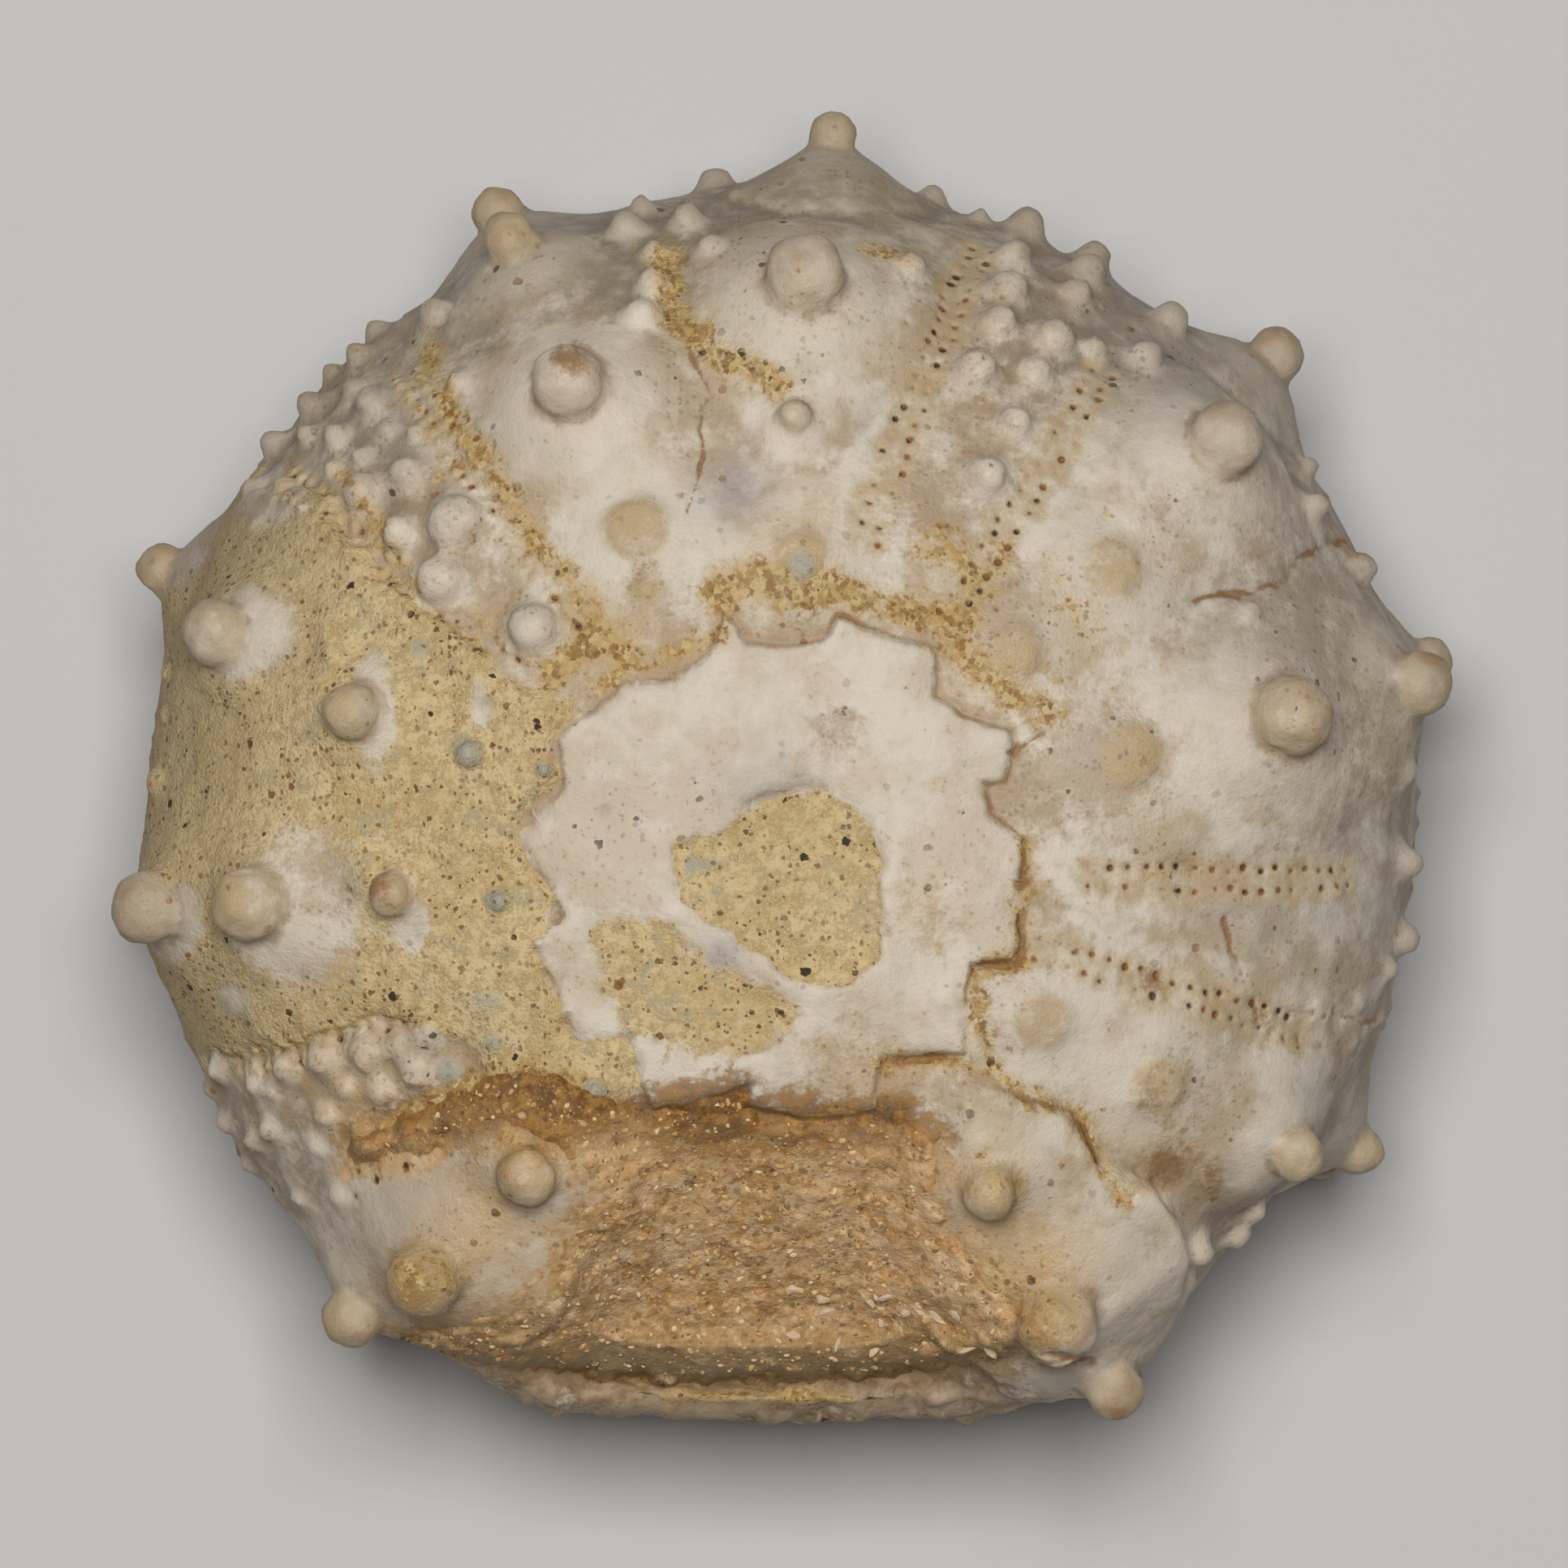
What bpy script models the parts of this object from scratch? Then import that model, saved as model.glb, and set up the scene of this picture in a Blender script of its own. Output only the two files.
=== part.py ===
"""Fossil sea urchin: a regular urchin's shell filled with stone, one closed solid.

The frame is metres, +Z up.  The urchin lies on the flat plug of stone in its mouth, with the
apex of its shell up, and the origin is under the middle of its box.  Sizes below are in
millimetres.  A place on the shell is an azimuth, turning from +X to +Y, and a polar angle,
counted down from the apex, both in degrees.
"""

import math

import bmesh
import bpy
import numpy as np
from mathutils import Matrix, Vector, noise

MM = 0.001
NAME = "fossil_sea_urchin"

# The bare shell, a ball that is flatter below than above.
SHELL_CENTRE = (0.0, -1.6)
SHELL_RADIUS = 15.52
BACK_SWELL = 0.48
DENT_AZIMUTH = 320.0
DENT_WIDTH = 9.0
DENT_DEPTH = 0.45
AMBITUS_HEIGHT = 8.4
UPPER_HEIGHT = 9.5
LOWER_HEIGHT = 7.3
UPPER_POWER = 2.3
LOWER_POWER = 2.7
APEX_SHIFT = (-0.16, -0.56)

# The crushed side, towards -Y: its outline is a chord, and the roof is stove in behind it.
CHORD_DISTANCE = 14.20
CHORD_AZIMUTH = 270.0
CHORD_BLEND = 6.0
CHORD_FACING = 0.1
CRUSH_LEFT = (-9.5, -4.0)
CRUSH_RIGHT = (2.5, 9.5)
CRUSH_START = (4.0, 6.5)
CRUSH_REACH = (5.5, 7.0, 8.5, 10.0, 11.5, 12.6, 13.2, 13.7, 14.3, 15.0)
CRUSH_HEIGHT = (17.6, 16.9, 15.9, 14.6, 12.9, 11.2, 9.9, 10.3, 9.4, 6.5)

# Gentle lumps over the whole shell: how wide and how high they are.
LUMP_WIDTH = 2.6
LUMP_HEIGHT = 0.16

# Plates that stand above or below the shell round them: plan outlines, lift and edge width.
APICAL_DISC = (
    (-6.4, -1.5), (-5.9, -1.0), (-5.3, -0.3), (-5.5, 0.9), (-4.6, 1.6), (-3.9, 2.1),
    (-2.6, 2.3), (-1.8, 2.9), (-1.4, 4.0), (-0.9, 3.2), (0.9, 3.3), (1.3, 3.8), (2.6, 3.3),
    (3.5, 3.1), (3.7, 1.9), (4.3, 1.4), (5.4, 1.0), (5.3, -0.2), (4.8, -0.2), (5.0, -1.0),
    (5.7, -1.6), (5.7, -4.1), (5.6, -4.5), (4.5, -4.6), (4.3, -6.8), (2.3, -6.9), (2.2, -8.1),
    (0.3, -8.3), (-0.9, -8.0), (-0.8, -7.5), (-2.3, -8.0), (-3.2, -8.1), (-3.7, -6.3),
    (-5.0, -6.5), (-5.3, -5.8), (-6.0, -4.1), (-5.3, -3.5), (-5.6, -2.8), (-6.1, -2.2),
)
BROKEN_PLATE = (
    (4.0, -7.4), (6.9, -7.7), (7.9, -9.8), (9.2, -10.4), (9.9, -11.8), (8.4, -13.0),
    (7.4, -14.3), (4.6, -13.9), (4.0, -10.4),
)
STONE_FILL = (
    (-6.6, -7.3), (-4.0, -7.9), (-1.0, -8.2), (3.3, -8.2), (3.9, -10.5), (4.2, -12.3),
    (6.1, -13.8), (3.3, -14.6), (-5.5, -14.9), (-8.3, -13.4), (-5.6, -12.0), (-6.4, -10.5),
    (-9.0, -9.2),
)
PERIPROCT = (
    (-1.2, -1.0), (0.0, -0.9), (1.4, -1.0), (2.3, -2.4), (2.4, -4.2), (1.4, -5.1), (0.2, -4.6),
    (0.2, -6.2), (-1.8, -6.9), (-3.9, -6.2), (-4.4, -4.0), (-2.0, -3.5), (-2.8, -2.2),
    (-2.6, -1.4),
)
DISC_LIFT = 0.35
PERIPROCT_DROP = 0.25
PERIPROCT_EDGE = 0.50
PLATES = (
    (BROKEN_PLATE, 0.75, 0.60),
    (STONE_FILL, -0.35, 0.60),
)

# Tubercles turned about their axis, in head radii: radius and height, from the top down.  A
# ball sits on a foot, and its own points come from its middle's height.
BALL_HEIGHT = 1.55
BALL_POINTS = 8
BOSS_FOOT = (
    (0.92, 1.18), (1.02, 1.12), (1.35, 1.00), (1.80, 0.74), (2.30, 0.44), (2.80, 0.18),
    (3.25, -0.04), (3.50, -0.22), (3.50, -0.70), (0.0, -0.70),
)
WORN_PROFILE = (
    (0.0, 0.63), (0.40, 0.62), (0.75, 0.59), (0.92, 0.52), (1.02, 0.42), (1.20, 0.38),
    (1.80, 0.26), (2.40, 0.12), (3.00, -0.02), (3.30, -0.16), (3.30, -0.60), (0.0, -0.60),
)
KNOB_PROFILE = (
    (0.0, 1.66), (0.30, 1.62), (0.62, 1.46), (0.86, 1.20), (0.98, 0.88), (1.00, 0.62),
    (1.12, 0.40), (1.45, 0.18), (1.90, 0.02), (2.20, -0.12), (2.20, -0.60), (0.0, -0.60),
)
TUBERCLE_STEPS = 24

# Large tubercles, two columns to each of the five interambulacra: azimuth, polar, head radius.
LARGE_TUBERCLES = (
    (114.0, 45.5, 0.92), (114.0, 72.5, 0.70), (114.5, 90.0, 0.66), (88.0, 38.0, 0.40),
    (87.5, 53.5, 0.96), (43.0, 58.5, 0.92), (44.5, 90.0, 0.72), (15.5, 48.0, 0.98),
    (14.5, 72.5, 0.80), (15.5, 95.0, 0.60), (330.0, 63.5, 0.68), (332.0, 90.0, 0.60),
    (304.0, 34.0, 0.68), (302.5, 52.5, 0.98), (302.0, 72.0, 0.76), (231.0, 35.0, 0.74),
    (230.0, 53.0, 0.94), (227.5, 72.0, 0.74), (185.0, 33.0, 0.56), (185.0, 49.0, 0.90),
    (185.0, 66.0, 0.92), (161.0, 39.0, 0.72), (158.5, 60.0, 0.80), (156.5, 90.0, 0.64),
)

# Large tubercles whose heads are worn flat.
WORN_TUBERCLES = (
    (113.0, 29.5, 0.78), (86.0, 24.0, 0.62), (41.5, 25.5, 0.60), (41.0, 39.0, 0.76),
    (16.5, 31.0, 0.80), (329.0, 26.0, 0.72), (329.0, 41.5, 0.76),
)

# The tall tubercle at the top edge, on a steep cone: its place, its ball and its foot.
TALL_TUBERCLE = (86.0, 88.0, 0.58)
TALL_BALL_HEIGHT = 2.47
TALL_FOOT = (
    (0.92, 1.92), (1.35, 1.68), (2.00, 1.28), (2.78, 0.78), (4.48, -0.20), (4.93, -1.55),
    (0.0, -1.55),
)

# Small tubercles at the apex end of the columns.
TINY_TUBERCLES = (
    (116.5, 24.0, 0.24), (84.0, 19.0, 0.28), (231.5, 24.5, 0.36), (188.0, 22.5, 0.30),
    (158.5, 19.5, 0.26), (161.0, 26.5, 0.40),
)

# Small tubercles of the ambulacra and the plate edges: azimuth, polar, head radius.
SMALL_TUBERCLES = (
    (68.0, 49.5, 0.50), (67.5, 58.0, 0.44), (68.0, 64.0, 0.50), (68.5, 73.0, 0.44),
    (68.5, 86.5, 0.50), (62.0, 53.5, 0.40), (62.0, 59.0, 0.54), (58.0, 62.0, 0.34),
    (62.0, 71.0, 0.40), (62.0, 78.0, 0.50), (62.0, 90.0, 0.46), (53.5, 66.0, 0.48),
    (53.5, 80.5, 0.48), (61.5, 38.0, 0.50), (61.5, 45.5, 0.40), (45.0, 54.5, 0.40),
    (139.0, 54.5, 0.50), (139.5, 46.5, 0.44), (134.0, 41.5, 0.70), (133.0, 60.0, 0.28),
    (132.5, 66.0, 0.40), (131.0, 80.5, 0.36), (137.0, 80.0, 0.36), (146.0, 77.5, 0.32),
    (123.0, 74.0, 0.40), (140.5, 38.5, 0.60), (136.5, 27.5, 0.60),
    (203.5, 56.0, 0.44), (204.0, 49.0, 0.56), (205.5, 43.0, 0.56), (206.5, 38.5, 0.40),
    (211.0, 38.5, 0.50), (206.5, 35.0, 0.44), (210.0, 53.5, 0.36), (218.0, 60.0, 0.40),
    (201.5, 72.0, 0.32), (209.0, 72.0, 0.32),
    (7.0, 74.5, 0.40), (358.5, 76.5, 0.40), (351.5, 79.5, 0.40), (348.5, 76.0, 0.28),
    (96.5, 64.0, 0.40), (102.0, 66.5, 0.28), (102.5, 59.5, 0.44), (104.5, 54.5, 0.44),
    (98.5, 72.5, 0.40), (104.0, 73.5, 0.44), (102.5, 81.5, 0.32), (96.0, 93.0, 0.44),
    (77.5, 62.0, 0.42), (77.0, 93.0, 0.40), (35.5, 83.5, 0.28), (32.5, 75.0, 0.36),
    (27.0, 51.0, 0.40), (25.5, 80.0, 0.40), (195.0, 58.5, 0.32), (164.5, 78.5, 0.28),
    (168.0, 74.5, 0.28), (174.0, 72.5, 0.44), (72.5, 85.5, 0.28),
    (317.5, 50.0, 0.28), (319.5, 78.0, 0.36), (322.5, 76.5, 0.32), (313.0, 72.5, 0.32),
    (316.0, 69.0, 0.40), (310.5, 69.0, 0.28),
)

# The side below.  Each column goes on from its first hidden tubercle to the mouth, in steps
# and with heads that grow smaller.
COLUMNS_BELOW = (
    (14.5, 109.0), (43.5, 109.0), (87.0, 109.0), (114.0, 107.0), (158.0, 109.0),
    (185.0, 106.0), (228.0, 102.0), (257.0, 120.0), (302.0, 104.0), (330.0, 108.0),
)
FIRST_HEAD = 0.60
LAST_HEAD = 0.34
MOUTH_POLAR = 161.0
STEP_BELOW = 10.5
AMBULACRA = (64.0, 136.0, 207.0, 280.0, 352.0)
AMBULACRUM_FIRST = 112.0
AMBULACRUM_STEP = 8.5
AMBULACRUM_SPREAD = 3.4
AMBULACRUM_HEADS = (0.38, 0.28)
EDGE_COLUMNS = (43.5, 87.0, 114.0, 228.0)
EDGE_SPREAD = 6.5
EDGE_POLAR = 101.0
EDGE_HEAD = 0.32

# The plug of stone in the mouth: half width and height of its turned profile, top down.
PLUG = ((0.0, 3.0), (4.6, 3.0), (5.9, 1.5), (5.85, 0.7), (5.55, 0.2), (5.2, 0.0), (0.0, 0.0))
PLUG_STEPS = 48

# The surface's fineness, and the number of triangles that the solid keeps.
SHELL_SEGMENTS = 360
SHELL_RINGS = 180
DOME_SEGMENTS = 48
DOME_RINGS = 90
DISC_BLOCK_TOP = 20.0
DISC_BLOCK_HEIGHT = 6.0
VOXEL = 0.20
KEPT_SHARE = 0.040
FOOT_CUT = 0.02
SLAB_WIDTH = 40.0
SLAB_DEPTH = 4.0
MERGE = 0.0001
FRAME_STEP = 1.0


def clear_scene():
    """Remove every object that the file opens with."""
    for item in list(bpy.data.objects):
        bpy.data.objects.remove(item, do_unlink=True)


def smooth_step(value, low, high):
    """Rise from 0 at low to 1 at high without a corner."""
    share = np.clip((value - low) / (high - low), 0.0, 1.0)
    return share * share * (3.0 - 2.0 * share)


def outline_radius(azimuth):
    """The bare shell's radius seen from above, with the chord of the crushed side."""
    turn = (azimuth - DENT_AZIMUTH + 180.0) % 360.0 - 180.0
    radius = SHELL_RADIUS + BACK_SWELL * np.sin(np.radians(azimuth))
    radius = radius - DENT_DEPTH * np.exp(-((turn / DENT_WIDTH) ** 2))
    facing = np.cos(np.radians(azimuth - CHORD_AZIMUTH))
    chord = CHORD_DISTANCE / np.maximum(facing, CHORD_FACING)
    return -np.log(np.exp(-CHORD_BLEND * radius) + np.exp(-CHORD_BLEND * chord)) / CHORD_BLEND


def inside_depth(outline, x, y):
    """Distance from a closed plan outline, above zero inside it."""
    nearest = np.full(x.shape, 1e9)
    inside = np.zeros(x.shape, bool)
    for start, end in zip(outline, outline[1:] + outline[:1]):
        run = (end[0] - start[0], end[1] - start[1])
        along = ((x - start[0]) * run[0] + (y - start[1]) * run[1]) / (run[0] ** 2 + run[1] ** 2)
        along = np.clip(along, 0.0, 1.0)
        gap = np.hypot(x - start[0] - along * run[0], y - start[1] - along * run[1])
        nearest = np.minimum(nearest, gap)
        if run[1]:
            crosses = (start[1] > y) != (end[1] > y)
            inside ^= crosses & (x < start[0] + run[0] * (y - start[1]) / run[1])
    return np.where(inside, nearest, -nearest)


def crush(x, y, z):
    """Lower the roof of the crushed side to its broken profile."""
    reach = SHELL_CENTRE[1] - y
    share = smooth_step(x, *CRUSH_LEFT) * (1.0 - smooth_step(x, *CRUSH_RIGHT))
    share = share * smooth_step(reach, *CRUSH_START)
    roof = np.interp(reach, CRUSH_REACH, CRUSH_HEIGHT)
    return np.where(z > roof, z + share * (roof - z), z)


def shell_points(azimuth, polar):
    """Places on the bare shell, in millimetres, for arrays of azimuth and polar angle."""
    azimuth = np.asarray(azimuth, float)
    drop = np.radians(np.asarray(polar, float))
    upper = np.cos(drop) >= 0.0
    power = 2.0 / np.where(upper, UPPER_POWER, LOWER_POWER)
    radius = outline_radius(azimuth) * np.abs(np.sin(drop)) ** power
    rise = np.abs(np.cos(drop)) ** power * np.where(upper, UPPER_HEIGHT, -LOWER_HEIGHT)
    lean = np.maximum(rise, 0.0) / UPPER_HEIGHT
    x = SHELL_CENTRE[0] + radius * np.cos(np.radians(azimuth)) + APEX_SHIFT[0] * lean
    y = SHELL_CENTRE[1] + radius * np.sin(np.radians(azimuth)) + APEX_SHIFT[1] * lean
    z = crush(x, y, AMBITUS_HEIGHT + rise)
    return np.stack((x, y, z), axis=-1)


def shell_frame(azimuth, polar):
    """A matrix that stands a turned shape on the shell, its axis along the shell's normal."""
    west, east = azimuth - FRAME_STEP, azimuth + FRAME_STEP
    spots = shell_points((west, east, azimuth, azimuth, azimuth),
                         (polar, polar, polar - FRAME_STEP, polar + FRAME_STEP, polar))
    across = Vector(spots[1] - spots[0])
    down = Vector(spots[3] - spots[2])
    normal = down.cross(across).normalized()
    side = across.normalized()
    turn = Matrix((side, normal.cross(side), normal)).transposed().to_4x4()
    return Matrix.Translation(Vector(spots[4])) @ turn


def scene_object(name, mesh):
    """An object of a mesh, linked to the scene so that its modifiers can run."""
    item = bpy.data.objects.new(name, mesh)
    bpy.context.scene.collection.objects.link(item)
    return item


def as_mesh(item):
    """The mesh that an object's modifiers make; the object itself is removed."""
    depsgraph = bpy.context.evaluated_depsgraph_get()
    mesh = bpy.data.meshes.new_from_object(item.evaluated_get(depsgraph))
    bpy.data.objects.remove(item)
    return mesh


def turned_mesh(name, profile, steps):
    """A closed turned shape from a profile that runs from the top of its axis to the bottom."""
    mesh = bpy.data.meshes.new(name)
    edges = [(i, i + 1) for i in range(len(profile) - 1)]
    mesh.from_pydata([(radius, 0.0, height) for radius, height in profile], edges, [])
    item = scene_object(name, mesh)
    screw = item.modifiers.new("Screw", "SCREW")
    screw.steps = steps
    screw.render_steps = steps
    screw.use_merge_vertices = True
    screw.merge_threshold = MERGE
    return as_mesh(item)


def ball_on(foot, height):
    """The profile of a ball of radius 1, with its middle at a height, down to its foot."""
    neck = foot[0]
    last = math.acos((neck[1] - height) / math.hypot(neck[0], neck[1] - height))
    ball = []
    for step in range(BALL_POINTS):
        angle = last * step / BALL_POINTS
        ball.append((math.sin(angle), height + math.cos(angle)))
    return ball + list(foot)


def column_below(azimuth, first, step, heads):
    """Places down a column from its first polar angle to the mouth, heads from big to small."""
    places = []
    polar = first
    while polar < MOUTH_POLAR:
        share = (polar - first) / (MOUTH_POLAR - first)
        places.append((azimuth, polar, heads[0] + (heads[1] - heads[0]) * share))
        polar += step
    return places


def places_below():
    """The large and the small tubercles of the under side, column by column."""
    large = []
    for azimuth, first in COLUMNS_BELOW:
        large += column_below(azimuth, first, STEP_BELOW, (FIRST_HEAD, LAST_HEAD))
    small = []
    for azimuth in EDGE_COLUMNS:
        for side in (-EDGE_SPREAD, EDGE_SPREAD):
            small.append((azimuth + side, EDGE_POLAR, EDGE_HEAD))
    for azimuth in AMBULACRA:
        for side, start in ((-AMBULACRUM_SPREAD, 0.0), (AMBULACRUM_SPREAD, AMBULACRUM_STEP / 2)):
            small += column_below(azimuth + side, AMBULACRUM_FIRST + start, AMBULACRUM_STEP,
                                  AMBULACRUM_HEADS)
    return large, small


def add_shape(body, mesh, matrix):
    """Copy a mesh into the body at a place."""
    placed = mesh.copy()
    placed.transform(matrix)
    body.from_mesh(placed)
    bpy.data.meshes.remove(placed)


def add_shell(body, segments, rings, levels):
    """The bare shell: a ball whose points are moved to their places and plate levels."""
    bmesh.ops.create_uvsphere(body, u_segments=segments, v_segments=rings, radius=1.0)
    unit = np.array([vert.co[:] for vert in body.verts])
    azimuth = np.degrees(np.arctan2(unit[:, 1], unit[:, 0]))
    polar = np.degrees(np.arccos(np.clip(unit[:, 2], -1.0, 1.0)))
    spots = shell_points(azimuth, polar)
    for spot, out in zip(spots, unit):
        lump = noise.noise(Vector(spot) / LUMP_WIDTH)
        spot += out * lump * LUMP_HEIGHT * (spot[2] > LUMP_WIDTH)
    for outline, lift, edge in levels:
        depth = inside_depth(outline, spots[:, 0], spots[:, 1])
        share = smooth_step(depth, -edge / 2, edge / 2) * (polar < 90.0)
        spots[:, 2] += lift * share
    for vert, spot in zip(body.verts, spots):
        vert.co = spot


def add_boolean(item, operation, other):
    """Join, cut or trim an object by another."""
    change = item.modifiers.new(operation.title(), "BOOLEAN")
    change.operation = operation
    change.solver = "EXACT"
    change.object = other


def disc_prism():
    """An upright block with the star outline of the apical disc."""
    curve = bpy.data.curves.new("disc_outline", "CURVE")
    curve.dimensions = "2D"
    curve.fill_mode = "BOTH"
    curve.extrude = DISC_BLOCK_HEIGHT / 2
    line = curve.splines.new("POLY")
    line.points.add(len(APICAL_DISC) - 1)
    for point, (x, y) in zip(line.points, APICAL_DISC):
        point.co = (x, y, 0.0, 1.0)
    line.use_cyclic_u = True
    prism = as_mesh(scene_object("disc_outline", curve))
    prism.transform(Matrix.Translation((0.0, 0.0, DISC_BLOCK_TOP - DISC_BLOCK_HEIGHT / 2)))
    edit = bmesh.new()
    edit.from_mesh(prism)
    bmesh.ops.remove_doubles(edit, verts=edit.verts, dist=MERGE)
    bmesh.ops.recalc_face_normals(edit, faces=edit.faces)
    edit.to_mesh(prism)
    edit.free()
    return prism


def disc_plate():
    """The apical disc: the star block trimmed by a dome that stands proud of the shell."""
    dome = bmesh.new()
    add_shell(dome, DOME_SEGMENTS, DOME_RINGS, ((PERIPROCT, -PERIPROCT_DROP, PERIPROCT_EDGE),))
    bmesh.ops.translate(dome, verts=dome.verts, vec=(0.0, 0.0, DISC_LIFT))
    mesh = bpy.data.meshes.new("dome")
    dome.to_mesh(mesh)
    dome.free()
    trim = scene_object("dome", mesh)
    plate = scene_object("apical_disc", disc_prism())
    add_boolean(plate, "INTERSECT", trim)
    mesh = as_mesh(plate)
    bpy.data.objects.remove(trim)
    return mesh


def add_tubercles(body, name, profile, places):
    """Turn one tubercle and stand a copy of it at each place, as large as its head."""
    tubercle = turned_mesh(name, profile, TUBERCLE_STEPS)
    for azimuth, polar, head in places:
        add_shape(body, tubercle, shell_frame(azimuth, polar) @ Matrix.Scale(head, 4))


def build_body():
    """Join shell, plug and tubercles in one mesh, in millimetres."""
    body = bmesh.new()
    add_shell(body, SHELL_SEGMENTS, SHELL_RINGS, PLATES)
    mouth = Matrix.Translation((SHELL_CENTRE[0], SHELL_CENTRE[1], 0.0))
    add_shape(body, turned_mesh("plug", PLUG, PLUG_STEPS), mouth)
    large, small = places_below()
    add_tubercles(body, "boss", ball_on(BOSS_FOOT, BALL_HEIGHT), list(LARGE_TUBERCLES) + large)
    add_tubercles(body, "worn", WORN_PROFILE, WORN_TUBERCLES)
    knobs = list(SMALL_TUBERCLES) + list(TINY_TUBERCLES) + small
    add_tubercles(body, "knob", KNOB_PROFILE, knobs)
    add_tubercles(body, "tall", ball_on(TALL_FOOT, TALL_BALL_HEIGHT), [TALL_TUBERCLE])
    mesh = bpy.data.meshes.new(NAME)
    body.to_mesh(mesh)
    body.free()
    return mesh


def foot_cutter(collection):
    """A slab whose top cuts the plug flat, so that the urchin rests on a true face."""
    bpy.ops.mesh.primitive_cube_add(size=1.0)
    slab = bpy.context.object
    slab.name = "foot_cutter"
    slab.scale = (SLAB_WIDTH, SLAB_WIDTH, SLAB_DEPTH)
    slab.location = (0.0, 0.0, FOOT_CUT - SLAB_DEPTH / 2)
    for owner in list(slab.users_collection):
        owner.objects.unlink(slab)
    collection.objects.link(slab)
    slab.hide_render = True
    slab.display_type = "WIRE"
    return slab


def skin(mesh, plate, cutter):
    """One thinned surface over all that was joined, with its disc, cut flat at the foot."""
    body = scene_object("body", mesh)
    remesh = body.modifiers.new("Skin", "REMESH")
    remesh.mode = "VOXEL"
    remesh.voxel_size = VOXEL
    remesh.adaptivity = 0.0
    thin = body.modifiers.new("Thin", "DECIMATE")
    thin.decimate_type = "COLLAPSE"
    thin.ratio = KEPT_SHARE
    disc = scene_object("disc", plate)
    add_boolean(body, "UNION", disc)
    add_boolean(body, "DIFFERENCE", cutter)
    solid = as_mesh(body)
    bpy.data.objects.remove(disc)
    return solid


def stand_on_origin(mesh):
    """Scale to metres and put the middle of the foot of the mesh's box at the origin."""
    corners = np.array([vert.co[:] for vert in mesh.vertices])
    low = corners.min(axis=0)
    high = corners.max(axis=0)
    middle = (low + high) / 2
    mesh.transform(Matrix.Scale(MM, 4) @ Matrix.Translation((-middle[0], -middle[1], -low[2])))


def stone_material():
    """Chalky off-white calcite."""
    material = bpy.data.materials.new("weathered_calcite")
    material.use_nodes = True
    shader = material.node_tree.nodes["Principled BSDF"]
    shader.inputs["Base Color"].default_value = (0.62, 0.54, 0.44, 1.0)
    shader.inputs["Roughness"].default_value = 0.7
    shader.inputs["Metallic"].default_value = 0.0
    return material


def main():
    clear_scene()
    parts = bpy.data.collections.new(NAME)
    cutters = bpy.data.collections.new("cutters")
    bpy.context.scene.collection.children.link(parts)
    bpy.context.scene.collection.children.link(cutters)
    solid = skin(build_body(), disc_plate(), foot_cutter(cutters))
    stand_on_origin(solid)
    solid.name = NAME
    solid.materials.clear()
    solid.materials.append(stone_material())
    parts.objects.link(bpy.data.objects.new(NAME, solid))


main()
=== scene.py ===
"""Looks of the fossil sea urchin: its shell, the rock and sand on it, and its setting."""

import math
import random

import bpy
import numpy as np
from mathutils import Matrix, Vector, bvhtree, kdtree, noise


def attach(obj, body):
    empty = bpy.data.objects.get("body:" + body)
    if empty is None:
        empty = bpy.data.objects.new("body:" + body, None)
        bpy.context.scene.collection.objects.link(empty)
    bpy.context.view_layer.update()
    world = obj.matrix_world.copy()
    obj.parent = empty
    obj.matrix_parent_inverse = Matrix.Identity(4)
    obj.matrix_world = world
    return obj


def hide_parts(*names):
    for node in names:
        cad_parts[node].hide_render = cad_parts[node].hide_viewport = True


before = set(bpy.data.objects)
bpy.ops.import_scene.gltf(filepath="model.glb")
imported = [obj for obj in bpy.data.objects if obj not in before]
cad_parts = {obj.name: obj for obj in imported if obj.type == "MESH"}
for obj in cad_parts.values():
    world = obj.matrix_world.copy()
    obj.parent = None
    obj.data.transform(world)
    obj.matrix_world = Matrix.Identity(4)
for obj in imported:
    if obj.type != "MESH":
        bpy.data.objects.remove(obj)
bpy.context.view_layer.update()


# ---------------------------------------------------------------------------------------------
# The shell: a hollow ball of calcite plates, filled with stone, that grew as one piece.  Ten
# columns of plates carry large ball-topped tubercles, and five narrow bands between them carry
# small ones and the double rows of pores.  The side towards -Y is stove in.

MM = 0.001
STANDS_AT = (-0.0181, -0.2001, -0.02)
SHELL_CENTRE = (0.0, -1.6)
SHELL_RADIUS = 15.52
BACK_SWELL = 0.48
DENT_AZIMUTH = 320.0
DENT_WIDTH = 9.0
DENT_DEPTH = 0.45
AMBITUS_HEIGHT = 8.4
UPPER_HEIGHT = 9.5
LOWER_HEIGHT = 7.3
UPPER_POWER = 2.3
LOWER_POWER = 2.7
APEX_SHIFT = (-0.16, -0.56)
CHORD_DISTANCE = 14.20
CHORD_AZIMUTH = 270.0
CHORD_BLEND = 6.0
CRUSH_LEFT = (-9.5, -4.0)
CRUSH_RIGHT = (2.5, 9.5)
CRUSH_REACH = (5.5, 7.0, 8.5, 10.0, 11.5, 12.6, 13.2, 13.7, 14.3, 15.0)
CRUSH_HEIGHT = (17.6, 16.9, 15.9, 14.6, 12.9, 11.2, 9.9, 10.3, 9.4, 6.5)
LUMP_WIDTH = 2.6
LUMP_HEIGHT = 0.16
SKY = 40.0

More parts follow.
